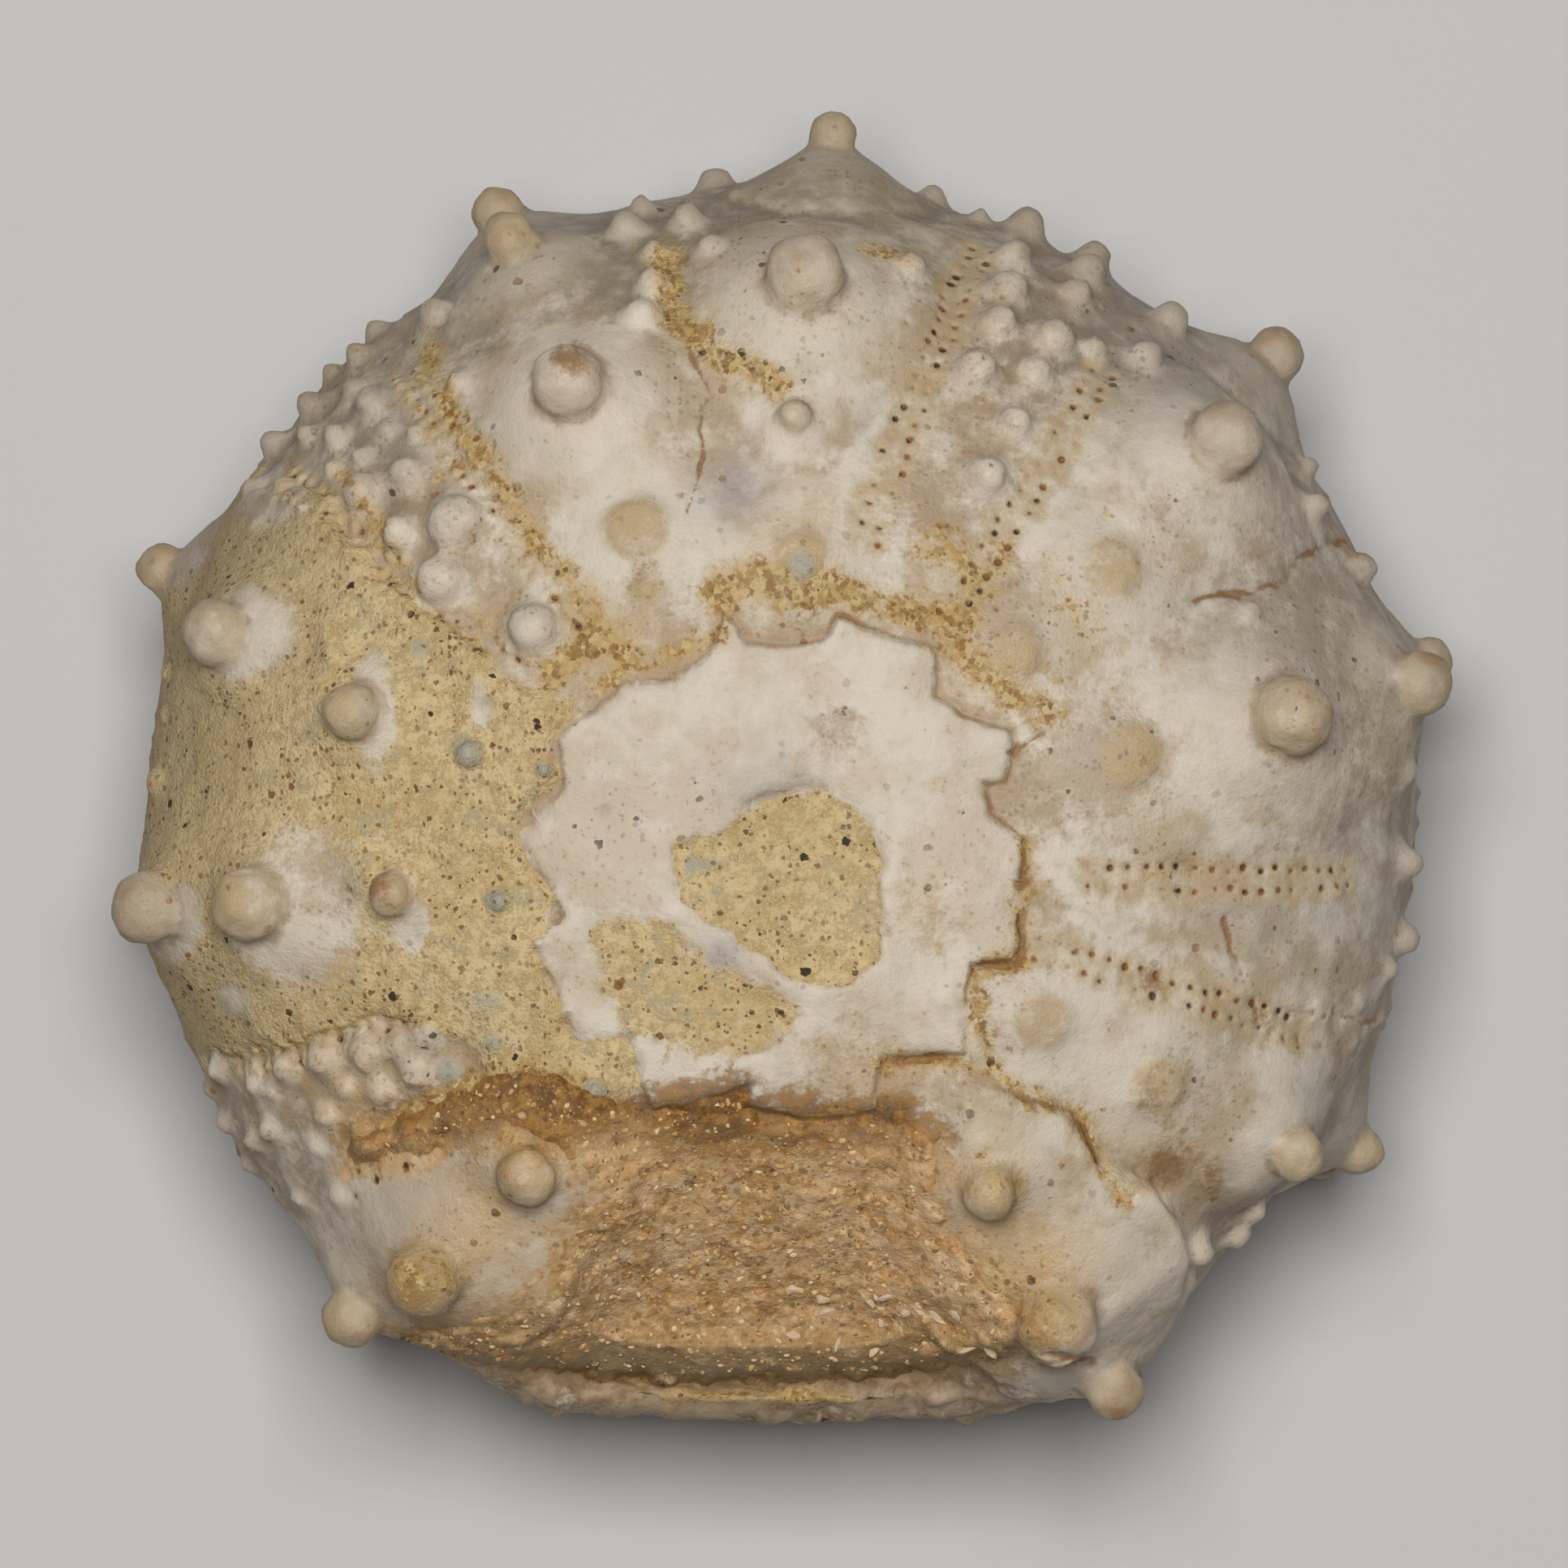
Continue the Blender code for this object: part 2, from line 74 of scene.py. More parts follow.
# The plate that was pushed up and the fill beside it that sank, in plan; then outline, lift
# and width of the step of each, in millimetres.
BROKEN_PLATE = (
    (4.2, -7.2), (5.2, -7.5), (5.7, -7.8), (7, -8.2), (7.6, -9.3), (8.1, -10.2), (9.3, -10.5),
    (9.9, -11.7), (8.3, -12.9), (7.4, -14.2), (4.6, -13.9), (4.1, -10.4),
)
STONE_FILL = (
    (-6.6, -7.3), (-4, -8.1), (-1, -8.2), (3.3, -8.4), (3.9, -10.5), (4.2, -12.3), (6.1, -13.8),
    (3.3, -14.6), (-5.5, -14.9), (-8.3, -13.4), (-5.6, -12), (-6.4, -10.5), (-9, -9.2),
)
PUSHED_PLATES = ((BROKEN_PLATE, 0.75, 0.40), (STONE_FILL, -0.35, 0.45))


def smooth_step(value, low, high):
    """Rise from 0 at low to 1 at high without a corner."""
    share = np.clip((value - low) / (high - low), 0.0, 1.0)
    return share * share * (3.0 - 2.0 * share)


def bell(gap, width):
    """1 in the middle, falling to 0 a few widths away."""
    return np.exp(-((gap / width) ** 2))


def outline_radius(azimuth):
    """The bare shell's radius seen from above, with the chord of the crushed side."""
    turn = (azimuth - DENT_AZIMUTH + 180.0) % 360.0 - 180.0
    radius = SHELL_RADIUS + BACK_SWELL * np.sin(np.radians(azimuth))
    radius = radius - DENT_DEPTH * bell(turn, DENT_WIDTH)
    facing = np.cos(np.radians(azimuth - CHORD_AZIMUTH))
    chord = CHORD_DISTANCE / np.maximum(facing, 0.1)
    return -np.log(np.exp(-CHORD_BLEND * radius) + np.exp(-CHORD_BLEND * chord)) / CHORD_BLEND


def crush(x, y, z):
    """Lower the roof of the crushed side to its broken profile."""
    reach = SHELL_CENTRE[1] - y
    share = smooth_step(x, *CRUSH_LEFT) * (1.0 - smooth_step(x, *CRUSH_RIGHT))
    share = share * smooth_step(reach, CRUSH_REACH[0] - 1.5, CRUSH_REACH[0] + 1.0)
    roof = np.interp(reach, CRUSH_REACH, CRUSH_HEIGHT)
    return np.where(z > roof, z + share * (roof - z), z)


def shell_points(azimuth, polar):
    """Places on the bare shell for an azimuth and an angle down from the apex, in degrees."""
    azimuth = np.asarray(azimuth, float)
    drop = np.radians(np.asarray(polar, float))
    upper = np.cos(drop) >= 0.0
    power = 2.0 / np.where(upper, UPPER_POWER, LOWER_POWER)
    radius = outline_radius(azimuth) * np.abs(np.sin(drop)) ** power
    rise = np.abs(np.cos(drop)) ** power * np.where(upper, UPPER_HEIGHT, -LOWER_HEIGHT)
    lean = np.maximum(rise, 0.0) / UPPER_HEIGHT
    x = SHELL_CENTRE[0] + radius * np.cos(np.radians(azimuth)) + APEX_SHIFT[0] * lean
    y = SHELL_CENTRE[1] + radius * np.sin(np.radians(azimuth)) + APEX_SHIFT[1] * lean
    z = crush(x, y, AMBITUS_HEIGHT + rise)
    return np.stack((x, y, z), axis=-1)


def shell_frame(azimuth, polar):
    """A matrix that stands a turned shape on the shell, its axis along the shell's normal."""
    spots = shell_points((azimuth - 1, azimuth + 1, azimuth, azimuth, azimuth),
                         (polar, polar, polar - 1, polar + 1, polar))
    across = Vector(spots[1] - spots[0])
    normal = Vector(spots[3] - spots[2]).cross(across).normalized()
    side = across.normalized()
    turn = Matrix((side, normal.cross(side), normal)).transposed().to_4x4()
    return Matrix.Translation(Vector(spots[4])) @ turn


def line_gap(line, x, y):
    """Distance from an open plan line."""
    nearest = np.full(x.shape, np.inf)
    for start, end in zip(line, line[1:]):
        run = (end[0] - start[0], end[1] - start[1])
        along = ((x - start[0]) * run[0] + (y - start[1]) * run[1]) / (run[0] ** 2 + run[1] ** 2)
        along = np.clip(along, 0.0, 1.0)
        gap = np.hypot(x - start[0] - along * run[0], y - start[1] - along * run[1])
        nearest = np.minimum(nearest, gap)
    return nearest


def inside_depth(outline, x, y):
    """Distance from a closed plan outline, above zero inside it."""
    ring = outline + outline[:1]
    inside = np.zeros(x.shape, bool)
    for (ax, ay), (bx, by) in zip(ring, ring[1:]):
        if by != ay:
            crosses = (ay > y) != (by > y)
            inside ^= crosses & (x < ax + (bx - ax) * (y - ay) / (by - ay))
    gap = line_gap(ring, x, y)
    return np.where(inside, gap, -gap)


def lumps(spots, width, shift=0.0):
    """Smooth noise between about -1 and 1, its lumps as wide as asked, at each place."""
    return np.array([noise.noise(Vector(spot) / width + Vector((shift, 0, 0))) for spot in spots])


def rows_of(parts, name, kind=float, width=3):
    """A property of each vertex, edge or face of a mesh, one row to each."""
    flat = np.empty(len(parts) * width, kind)
    parts.foreach_get(name, flat)
    return flat.reshape(-1, width)


def places_of(piece):
    """The places of a piece's vertices."""
    return rows_of(piece.data.vertices, "co")


def move_to(piece, spots):
    """Put a piece's vertices at new places."""
    piece.data.vertices.foreach_set("co", spots.ravel())
    piece.data.update()


def skin_of(piece, spots):
    """A tree that finds the nearest place on a piece, or what a line meets."""
    faces = [tuple(face.vertices) for face in piece.data.polygons]
    return bvhtree.BVHTree.FromPolygons([tuple(spot) for spot in spots], faces)


def below(skin, x, y):
    """Where a line straight down at a plan place meets a skin, if it does."""
    return skin.ray_cast(Vector((x, y, SKY)), Vector((0.0, 0.0, -1.0)))[0]


def apply_all(piece):
    """Make a piece's modifiers permanent."""
    bpy.context.view_layer.objects.active = piece
    for modifier in list(piece.modifiers):
        bpy.ops.object.modifier_apply(modifier=modifier.name)


bpy.ops.object.select_all(action="DESELECT")
bpy.ops.mesh.primitive_uv_sphere_add(segments=360, ring_count=200, radius=1.0)
shell = bpy.context.object
shell.name = shell.data.name = "urchin_shell"
unit = places_of(shell)
shell_polar = np.degrees(np.arccos(np.clip(unit[:, 2], -1.0, 1.0)))
spots = shell_points(np.degrees(np.arctan2(unit[:, 1], unit[:, 0])), shell_polar)
rise = lumps(spots, LUMP_WIDTH) * LUMP_HEIGHT * (spots[:, 2] > LUMP_WIDTH)
spots += unit * rise[:, None]
for outline, lift, edge in PUSHED_PLATES:
    depth = inside_depth(outline, spots[:, 0], spots[:, 1])
    spots[:, 2] += lift * smooth_step(depth, -edge / 2, edge / 2) * (shell_polar < 90.0)
move_to(shell, spots)
bare_shell = skin_of(shell, spots)

# A tubercle is a ball on a short neck and a broad cone.  Its profile is in head radii.
BALL_HEIGHT = 1.55
TUBERCLE_FOOT = (
    (0.92, 1.18), (1.02, 1.12), (1.35, 1), (1.8, 0.74), (2.3, 0.44), (2.8, 0.18), (3.25, -0.04),
    (3.5, -0.22), (3.5, -0.7),
)
WORN_PROFILE = (
    (0.4, 0.62), (0.75, 0.59), (0.92, 0.52), (1.02, 0.42), (1.2, 0.38), (1.8, 0.26), (2.4, 0.12),
    (3, -0.02), (3.3, -0.16), (3.3, -0.6),
)
KNOB_PROFILE = (
    (0.3, 1.62), (0.62, 1.46), (0.86, 1.2), (0.98, 0.88), (1, 0.62), (1.12, 0.4), (1.45, 0.18),
    (1.9, 0.02), (2.2, -0.12), (2.2, -0.6),
)
TALL_TUBERCLE = (86.0, 88.0, 0.58)
TALL_BALL_HEIGHT = 2.47
TALL_FOOT = ((0.92, 1.92), (1.35, 1.68), (2.00, 1.28), (2.78, 0.78), (4.48, -0.20), (4.93, -1.55))

# Azimuth, angle down from the apex, and head radius of each large tubercle.
LARGE_TUBERCLES = (
    (114, 45.5, 0.92), (114, 72.5, 0.7), (114.5, 90, 0.66), (88, 38, 0.4), (87.5, 53.5, 0.96),
    (43, 58.5, 0.92), (44.5, 90, 0.72), (15.5, 48, 0.98), (14.5, 72.5, 0.8), (15.5, 95, 0.6),
    (330, 63.5, 0.68), (332, 90, 0.6), (304, 34, 0.68), (302.5, 52.5, 0.98), (302, 72, 0.76),
    (231, 35, 0.74), (230, 53, 0.94), (227.5, 72, 0.74), (185, 33, 0.56), (185, 49, 0.9),
    (185, 66, 0.92), (161, 39, 0.72), (158.5, 60, 0.8), (156.5, 90, 0.64),
)
WORN_TUBERCLES = (
    (113, 29.5, 0.78), (86, 24, 0.62), (41.5, 25.5, 0.6), (41, 39, 0.76), (16.5, 31, 0.8),
    (329, 26, 0.72), (329, 41.5, 0.76),
)
TINY_TUBERCLES = (
    (116.5, 24, 0.24), (84, 19, 0.28), (231.5, 24.5, 0.36), (188, 22.5, 0.3), (158.5, 19.5, 0.26),
    (161, 26.5, 0.4),
)

# The small ones of the narrow bands and the plate edges.
SMALL_TUBERCLES = (
    (68, 49.5, 0.5), (67.5, 58, 0.44), (68, 64, 0.5), (68.5, 73, 0.44), (68.5, 86.5, 0.5),
    (62, 53.5, 0.4), (62, 59, 0.54), (58, 62, 0.34), (62, 71, 0.4), (62, 78, 0.5), (62, 90, 0.46),
    (53.5, 66, 0.48), (53.5, 80.5, 0.48), (61.5, 38, 0.5), (61.5, 45.5, 0.4), (45, 54.5, 0.4),
    (139, 54.5, 0.5), (139.5, 46.5, 0.44), (134, 41.5, 0.7), (133, 60, 0.28), (132.5, 66, 0.4),
    (131, 80.5, 0.36), (137, 80, 0.36), (146, 77.5, 0.32), (123, 74, 0.4), (140.5, 38.5, 0.6),
    (136.5, 27.5, 0.6), (203.5, 56, 0.36), (204, 49, 0.45), (205.5, 43, 0.46), (206.5, 38.5, 0.36),
    (211, 38.5, 0.42), (206.5, 35, 0.4), (210, 53.5, 0.34), (218, 60, 0.38), (208.5, 48.5, 0.32),
    (210.5, 44, 0.36), (208.5, 65.5, 0.34), (204, 64, 0.28), (213, 50, 0.28), (212, 59, 0.26),
    (206.5, 80, 0.34), (211, 82, 0.3), (216, 70, 0.26), (203, 80, 0.28), (205.5, 61, 0.25),
    (133, 72.5, 0.3), (137, 66.5, 0.34), (136.5, 59.5, 0.3), (139, 73, 0.32), (124.5, 58, 0.3),
    (134.5, 51.5, 0.44), (144, 69.5, 0.28), (128.5, 86.5, 0.34), (142, 84, 0.34), (134, 86.5, 0.3),
    (139.5, 62.5, 0.26), (131, 56, 0.24), (201.5, 72, 0.32), (209, 72, 0.32), (7, 74.5, 0.4),
    (358.5, 76.5, 0.4), (351.5, 79.5, 0.4), (348.5, 76, 0.28), (96.5, 64, 0.4), (102, 66.5, 0.28),
    (102.5, 59.5, 0.44), (104.5, 54.5, 0.44), (98.5, 72.5, 0.4), (104, 73.5, 0.44),
    (102.5, 81.5, 0.32), (96, 93, 0.44), (77.5, 62, 0.42), (77, 93, 0.4), (35.5, 83.5, 0.28),
    (32.5, 75, 0.36), (27, 51, 0.4), (25.5, 80, 0.4), (195, 58.5, 0.32), (164.5, 78.5, 0.28),
    (168, 74.5, 0.28), (174, 72.5, 0.44), (72.5, 85.5, 0.28), (317.5, 50, 0.28), (319.5, 78, 0.36),
    (322.5, 76.5, 0.32), (313, 72.5, 0.32), (316, 69, 0.4), (310.5, 69, 0.28),
)

# The side below: azimuth and first polar angle of each column that goes on to the mouth, and
# the azimuth of each narrow band.  The heads get smaller on the way.
COLUMNS_BELOW = (
    (14.5, 109), (43.5, 109), (87, 109), (114, 107), (158, 109), (185, 106), (228, 102),
    (257, 120), (302, 104), (330, 108),
)
BANDS = (64.0, 136.0, 207.0, 280.0, 350.0)
BAND_SPREAD = 3.4
MOUTH_POLAR = 161.0
BOSS_STEP = 10.5
KNOB_STEP = 8.5
BOSS_BELOW = (0.60, 0.34)
KNOB_BELOW = (0.38, 0.28)
EDGE_KNOBS = (43.5, 87.0, 114.0, 228.0)


def turned(name, profile, sides):
    """A closed turned shape: one ring drawn at the top and extruded down its profile."""
    radius, height = profile[0]
    bpy.ops.mesh.primitive_circle_add(vertices=sides, radius=radius, fill_type="NGON",
                                      location=(0.0, 0.0, height))
    item = bpy.context.object
    item.name = name
    bpy.ops.object.transform_apply(location=True)
    bpy.ops.object.mode_set(mode="EDIT")
    bpy.ops.mesh.select_all(action="SELECT")
    for wider, lower in profile[1:]:
        drop = {"value": (0.0, 0.0, lower - height)}
        bpy.ops.mesh.extrude_region_move(TRANSFORM_OT_translate=drop)
        share = wider / radius
        bpy.ops.transform.resize(value=(share, share, 1.0), center_override=(0.0, 0.0, lower))
        radius, height = wider, lower
    bpy.ops.mesh.select_all(action="SELECT")
    bpy.ops.mesh.normals_make_consistent(inside=False)
    bpy.ops.object.mode_set(mode="OBJECT")
    item.select_set(False)
    return item


def ball_on(foot, rings):
    """The profile of a ball that sits in the top ring of a foot, for a head of radius 1."""
    last = math.acos((foot[0][1] - BALL_HEIGHT) / math.hypot(foot[0][0], foot[0][1] - BALL_HEIGHT))
    angles = [last * (step + 0.35) / rings for step in range(rings)]
    return [(math.sin(a), BALL_HEIGHT + math.cos(a)) for a in angles] + list(foot)


def column_below(azimuth, first, step, big, small):
    """Places down a column from its first polar angle to the mouth, heads from big to small."""
    count = int(math.ceil((MOUTH_POLAR - first) / step))
    share = step / (MOUTH_POLAR - first)
    return [(azimuth, first + step * i, big + (small - big) * share * i) for i in range(count)]


bosses = list(LARGE_TUBERCLES)
knobs = list(SMALL_TUBERCLES) + list(TINY_TUBERCLES)
for azimuth, first in COLUMNS_BELOW:
    bosses += column_below(azimuth, first, BOSS_STEP, *BOSS_BELOW)
for azimuth in BANDS:
    for spread, first in ((-BAND_SPREAD, 112.0), (BAND_SPREAD, 116.2)):
        knobs += column_below(azimuth + spread, first, KNOB_STEP, *KNOB_BELOW)
for azimuth in EDGE_KNOBS:
    knobs += [(azimuth + spread, 101.0, 0.32) for spread in (-6.5, 6.5)]

boss_form = turned("boss", ball_on(TUBERCLE_FOOT, 9), 28)
worn_form = turned("worn", WORN_PROFILE, 28)
knob_form = turned("knob", KNOB_PROFILE, 18)
tall_profile = [(math.sin(math.radians(a)), TALL_BALL_HEIGHT + math.cos(math.radians(a)))
                for a in (12, 35, 55, 75, 95)]
tall_form = turned("tall", tall_profile + list(TALL_FOOT), 32)
plug_profile = ((3.0, 3.2), (4.6, 3.0), (5.9, 1.5), (5.85, 0.7), (5.55, 0.2), (5.2, 0.0))
plug = turned("plug", plug_profile, 64)
plug.data.transform(Matrix.Translation((SHELL_CENTRE[0], SHELL_CENTRE[1], 0.0)))

heads = []
worn_heads = []
grown = [plug]
chance = random.Random(7)
top_of = {boss_form: BALL_HEIGHT, worn_form: 0.2, knob_form: 0.62, tall_form: TALL_BALL_HEIGHT}
for form, places in ((boss_form, bosses), (worn_form, WORN_TUBERCLES), (knob_form, knobs),
                     (tall_form, [TALL_TUBERCLE])):
    for azimuth, polar, head in places:
        stand = shell_frame(azimuth, polar)
        turn = Matrix.Rotation(chance.uniform(0.0, math.tau), 4, "Z")
        squash = Matrix.Diagonal((head, head * chance.uniform(0.95, 1.05), head, 1.0))
        copy = form.copy()
        copy.data = form.data.copy()
        copy.data.transform(stand @ turn @ squash)
        bpy.context.collection.objects.link(copy)
        grown.append(copy)
        middle = stand @ Vector((0.0, 0.0, top_of[form] * head))
        heads.append((*middle, head, form is knob_form))
        worn_heads.append(form is worn_form)
for form in (boss_form, worn_form, knob_form, tall_form):
    bpy.data.objects.remove(form)
for piece in grown:
    piece.select_set(True)
shell.select_set(True)
bpy.context.view_layer.objects.active = shell
bpy.ops.object.join()

# One skin over all of it, finer above than below, then finer again along what is sharp.
VOXEL = 0.155
KEPT_ABOVE = 0.62
KEPT_BELOW = 0.28
BELOW = 6.5
skin = shell.modifiers.new("skin", "REMESH")
skin.mode = "VOXEL"
skin.voxel_size = VOXEL
apply_all(shell)


def edit_picked(piece, parts, picked):
    """Open a piece for edit operators, on its picked edges or faces alone."""
    parts.foreach_set("select", picked)
    bpy.context.view_layer.objects.active = piece
    by_edge = parts == piece.data.edges
    bpy.context.tool_settings.mesh_select_mode = (False, by_edge, not by_edge)
    bpy.ops.object.mode_set(mode="EDIT")


for side, kept in ((-1.0, KEPT_BELOW), (1.0, KEPT_ABOVE)):
    heights = rows_of(shell.data.polygons, "center")[:, 2]
    edit_picked(shell, shell.data.polygons, (heights >= BELOW) == (side > 0.0))
    bpy.ops.mesh.decimate(ratio=kept)
    bpy.ops.object.mode_set(mode="OBJECT")

# In plan: the raised disc on top, its open vent, and the cracks, each a line, width and depth.
APICAL_DISC = (
    (-6.44, -1.48), (-5.94, -1.02), (-5.34, -0.34), (-5.48, 0.9), (-4.56, 1.6), (-3.92, 2.14),
    (-2.64, 2.32), (-1.82, 2.88), (-1.44, 4.02), (-0.9, 3.16), (0.3, 3.1), (0.94, 3.28),
    (1.3, 3.8), (1.96, 3.52), (2.6, 3.3), (3.52, 3.1), (3.7, 2.7), (3.66, 1.86), (4.34, 1.4),
    (5.44, 1.04), (5.54, 0.58), (5.34, -0.16), (4.8, -0.2), (4.98, -0.98), (5.72, -1.62),
    (5.76, -2.72), (5.72, -4.1), (5.58, -4.52), (4.52, -4.6), (4.38, -5.38), (4.34, -6.76),
    (2.32, -6.86), (2.22, -8.14), (0.94, -8.36), (0.3, -8.32), (-0.9, -8.04), (-0.84, -7.5),
    (-2.28, -8.04), (-3.18, -8.14), (-3.46, -7.4), (-3.7, -6.3), (-5.02, -6.48), (-5.26, -5.84),
    (-5.66, -4.92), (-6.04, -4.1), (-5.34, -3.46), (-5.58, -2.82), (-6.12, -2.18),
)
VENT = (
    (-1.36, -1.12), (-0.7, -0.7), (0.2, -0.42), (1.12, -0.52), (1.88, -1.32), (2.42, -2.52),
    (2.42, -4.12), (1.88, -4.92), (0.88, -5.12), (-0.12, -4.82), (-1.22, -3.92), (-1.92, -3.62),
    (-2.72, -3.12), (-2.82, -2.12), (-2.42, -1.56),
)
CRACKS = (
    (((5.78, -1.62), (5.72, -4.2), (5.58, -4.56), (4.55, -4.66), (4.88, -6.72), (5.18, -7.52),
      (5.68, -7.82), (6.98, -8.22), (7.58, -9.32), (8.08, -10.22), (8.58, -10.32)), 0.14, 0.2),
    (((14.48, 6.08), (13.4, 5.6), (12.48, 5.28), (12.28, 4.68), (11.2, 4.5), (10.08, 4.12)),
      0.13, 0.16),
    (((10.68, -3.52), (11.08, -4.92), (11.48, -5.92), (12.6, -5.8), (14.48, -6.02)), 0.12, 0.12),
    (((2.32, -6.9), (3.4, -6.94), (4.48, -7.02)), 0.16, 0.24),
    (((-2.72, 11.08), (-2.3, 10.2), (-1.92, 9.48), (-2.05, 8), (-2.32, 6.28)), 0.08, 0.06),
    (((3.48, -13.92), (5.4, -14.15), (7.48, -14.22)), 0.22, 0.35),
    (((5.48, 0.48), (6.28, 1.08)), 0.12, 0.14),
)

# Pore zones: azimuth at the top and at the widest ring, first and last polar angle on top, and
# whether the pores stand in low beads of matrix.
PORE_ZONES = (
    (74.5, 70.5, 27, 74, False), (55, 57, 24, 60, False), (129.5, 127.5, 22, 68, True),
    (143, 143.5, 26, 72, True), (-3, -2.2, 26, 62, False), (-18.6, -19, 22, 60, False),
    (204, 199, 34, 68, True), (219, 216, 42, 58, False),
)
PORE_STEP = 0.46
PORE_GAP = 0.25
PORE_SHAKE = (-0.07, 0.07)
LINE_POINTS = 400
PORE_RADIUS = 0.11
PORE_DEPTH = 0.11
PORES_ABOVE = 10.0
BEAD_HEIGHT = 0.10


def pore_places():
    """The middle of each pore of the upper side, two to a pair, and whether it is beaded."""
    places = []
    for top, side, first, last, beaded in PORE_ZONES:
        polar = np.linspace(first, last, LINE_POINTS)
        azimuth = top + (side - top) * (polar - first) / (90.0 - first)
        line = shell_points(azimuth, polar)
        run = np.concatenate(((0.0,), np.cumsum(np.linalg.norm(np.diff(line, axis=0), axis=1))))
        for mark in np.arange(0.0, run[-1], PORE_STEP):
            i = int(np.searchsorted(run, mark))
            ahead = Vector(line[min(i + 1, LINE_POINTS - 1)] - line[max(i - 1, 0)]).normalized()
            out = Vector(line[i]) - Vector((SHELL_CENTRE[0], SHELL_CENTRE[1], AMBITUS_HEIGHT - 4))
            across = ahead.cross(out.normalized()).normalized()
            for side_of in (-PORE_GAP, PORE_GAP):
                spot = Vector(line[i]) + across * (side_of + chance.uniform(*PORE_SHAKE))
                places.append((spot + ahead * chance.uniform(-0.08, 0.08), beaded))
            if beaded:
                spot = Vector(line[i]) + across * chance.uniform(-0.3, 0.3)
                places.append((spot + ahead * PORE_STEP / 2, False))
    return places


def tree_of(spots):
    """A tree that finds the nearest of some places."""
    tree = kdtree.KDTree(len(spots))
    for number, spot in enumerate(spots):
        tree.insert(spot, number)
    tree.balance()
    return tree


pores = pore_places()
pore_tree = tree_of([spot for spot, beaded in pores])


def sharp_places(spots, margin):
    """True where the disc's edge, a crack or a pore needs a finer skin."""
    x, y, z = spots.T
    near = np.abs(inside_depth(APICAL_DISC, x, y)) < margin
    near |= np.abs(inside_depth(VENT, x, y)) < margin
    for line, width, depth in CRACKS:
        near |= line_gap(line, x, y) < margin
    near &= z > AMBITUS_HEIGHT
    for i in np.flatnonzero(z > PORES_ABOVE):
        spot, number, gap = pore_tree.find(spots[i])
        near[i] |= gap < 0.6 and math.hypot(spots[i][0] - spot[0], spots[i][1] - spot[1]) < margin
    return near


def refine(piece, margin, longest):
    """Halve the edges that touch the wanted places and are longer than asked."""
    ends = rows_of(piece.data.edges, "vertices", np.int32, 2)
    spots = places_of(piece)
    length = np.linalg.norm(spots[ends[:, 0]] - spots[ends[:, 1]], axis=1)
    near = sharp_places(spots, margin)
    picked = near[ends].any(axis=1) & (length > longest)
    piece.data.polygons.foreach_set("select", np.zeros(len(piece.data.polygons), bool))
    piece.data.vertices.foreach_set("select", np.zeros(len(spots), bool))
    edit_picked(piece, piece.data.edges, picked)
    bpy.ops.mesh.subdivide(number_cuts=1)
    bpy.ops.mesh.select_all(action="SELECT")
    bpy.ops.mesh.quads_convert_to_tris()
    bpy.ops.mesh.select_all(action="DESELECT")
    bpy.ops.object.mode_set(mode="OBJECT")


refine(shell, 0.24, 0.12)
refine(shell, 0.13, 0.085)

# Low bumps between the bosses, the smallest tubercles of all, worn nearly flat.  There are none
# on the disc, nor on the sand, whose plan outline this is.
SEDIMENT = (
    (-10.38, -9.4), (-10.38, -8.96), (-8.8, -8.28), (-7.24, -7.38), (-5.68, -7.16), (-5, -7.84),
    (-3.2, -8.16), (-1.2, -7.6), (-0.52, -8.28), (1.72, -8.28), (2.62, -8.28), (3.74, -8.72),
    (3.54, -10.2), (3.84, -11.2), (4.86, -12.32), (6.2, -13.66), (5.3, -14.1), (2.62, -14.7),
    (-0.52, -14.85), (-3.88, -14.85), (-6.12, -14.6), (-8.36, -14.2), (-9.48, -13.9),
    (-7.68, -13.44), (-5.68, -12.76), (-5.22, -11.2), (-4.32, -10.3), (-5, -9.4), (-6.12, -8.72),
    (-7.24, -8.5), (-8.8, -9.18),
)
BUMP_TRIES = 7000
BUMP_COUNT = 950
BUMP_GAP = 0.52
BUMP_WIDTHS = (0.13, 0.27)
BUMP_HEIGHT = 0.62
seeded = np.random.default_rng(5)
tried = shell_points(seeded.uniform(0.0, 360.0, BUMP_TRIES),
                     np.degrees(np.arccos(seeded.uniform(-0.93, 0.92, BUMP_TRIES))))
free = np.ones(len(tried), bool)
for outline, away in ((APICAL_DISC, 0.3), (SEDIMENT, 0.4)):
    clear = inside_depth(outline, tried[:, 0], tried[:, 1]) < -away
    free &= clear | (tried[:, 2] < AMBITUS_HEIGHT)
for hx, hy, hz, head, small in heads:
    away = np.linalg.norm(tried - (hx, hy, hz), axis=1)
    free &= away > head * (1.35 if small else 2.3) + 0.12
bumps = np.empty((0, 3))
for spot in tried[free]:
    if len(bumps) < BUMP_COUNT and (np.linalg.norm(bumps - spot, axis=1) > BUMP_GAP).all():
        bumps = np.vstack((bumps, spot))
bump_size = seeded.uniform(*BUMP_WIDTHS, len(bumps))
bump_tree = tree_of(bumps)
spots = places_of(shell)
facing = rows_of(shell.data.vertices, "normal")
knob = np.zeros(len(spots))
for i, spot in enumerate(spots):
    near, number, gap = bump_tree.find(spot)
    knob[i] = bell(gap, bump_size[number])
    spots[i] += facing[i] * (BUMP_HEIGHT * bump_size[number] * knob[i])

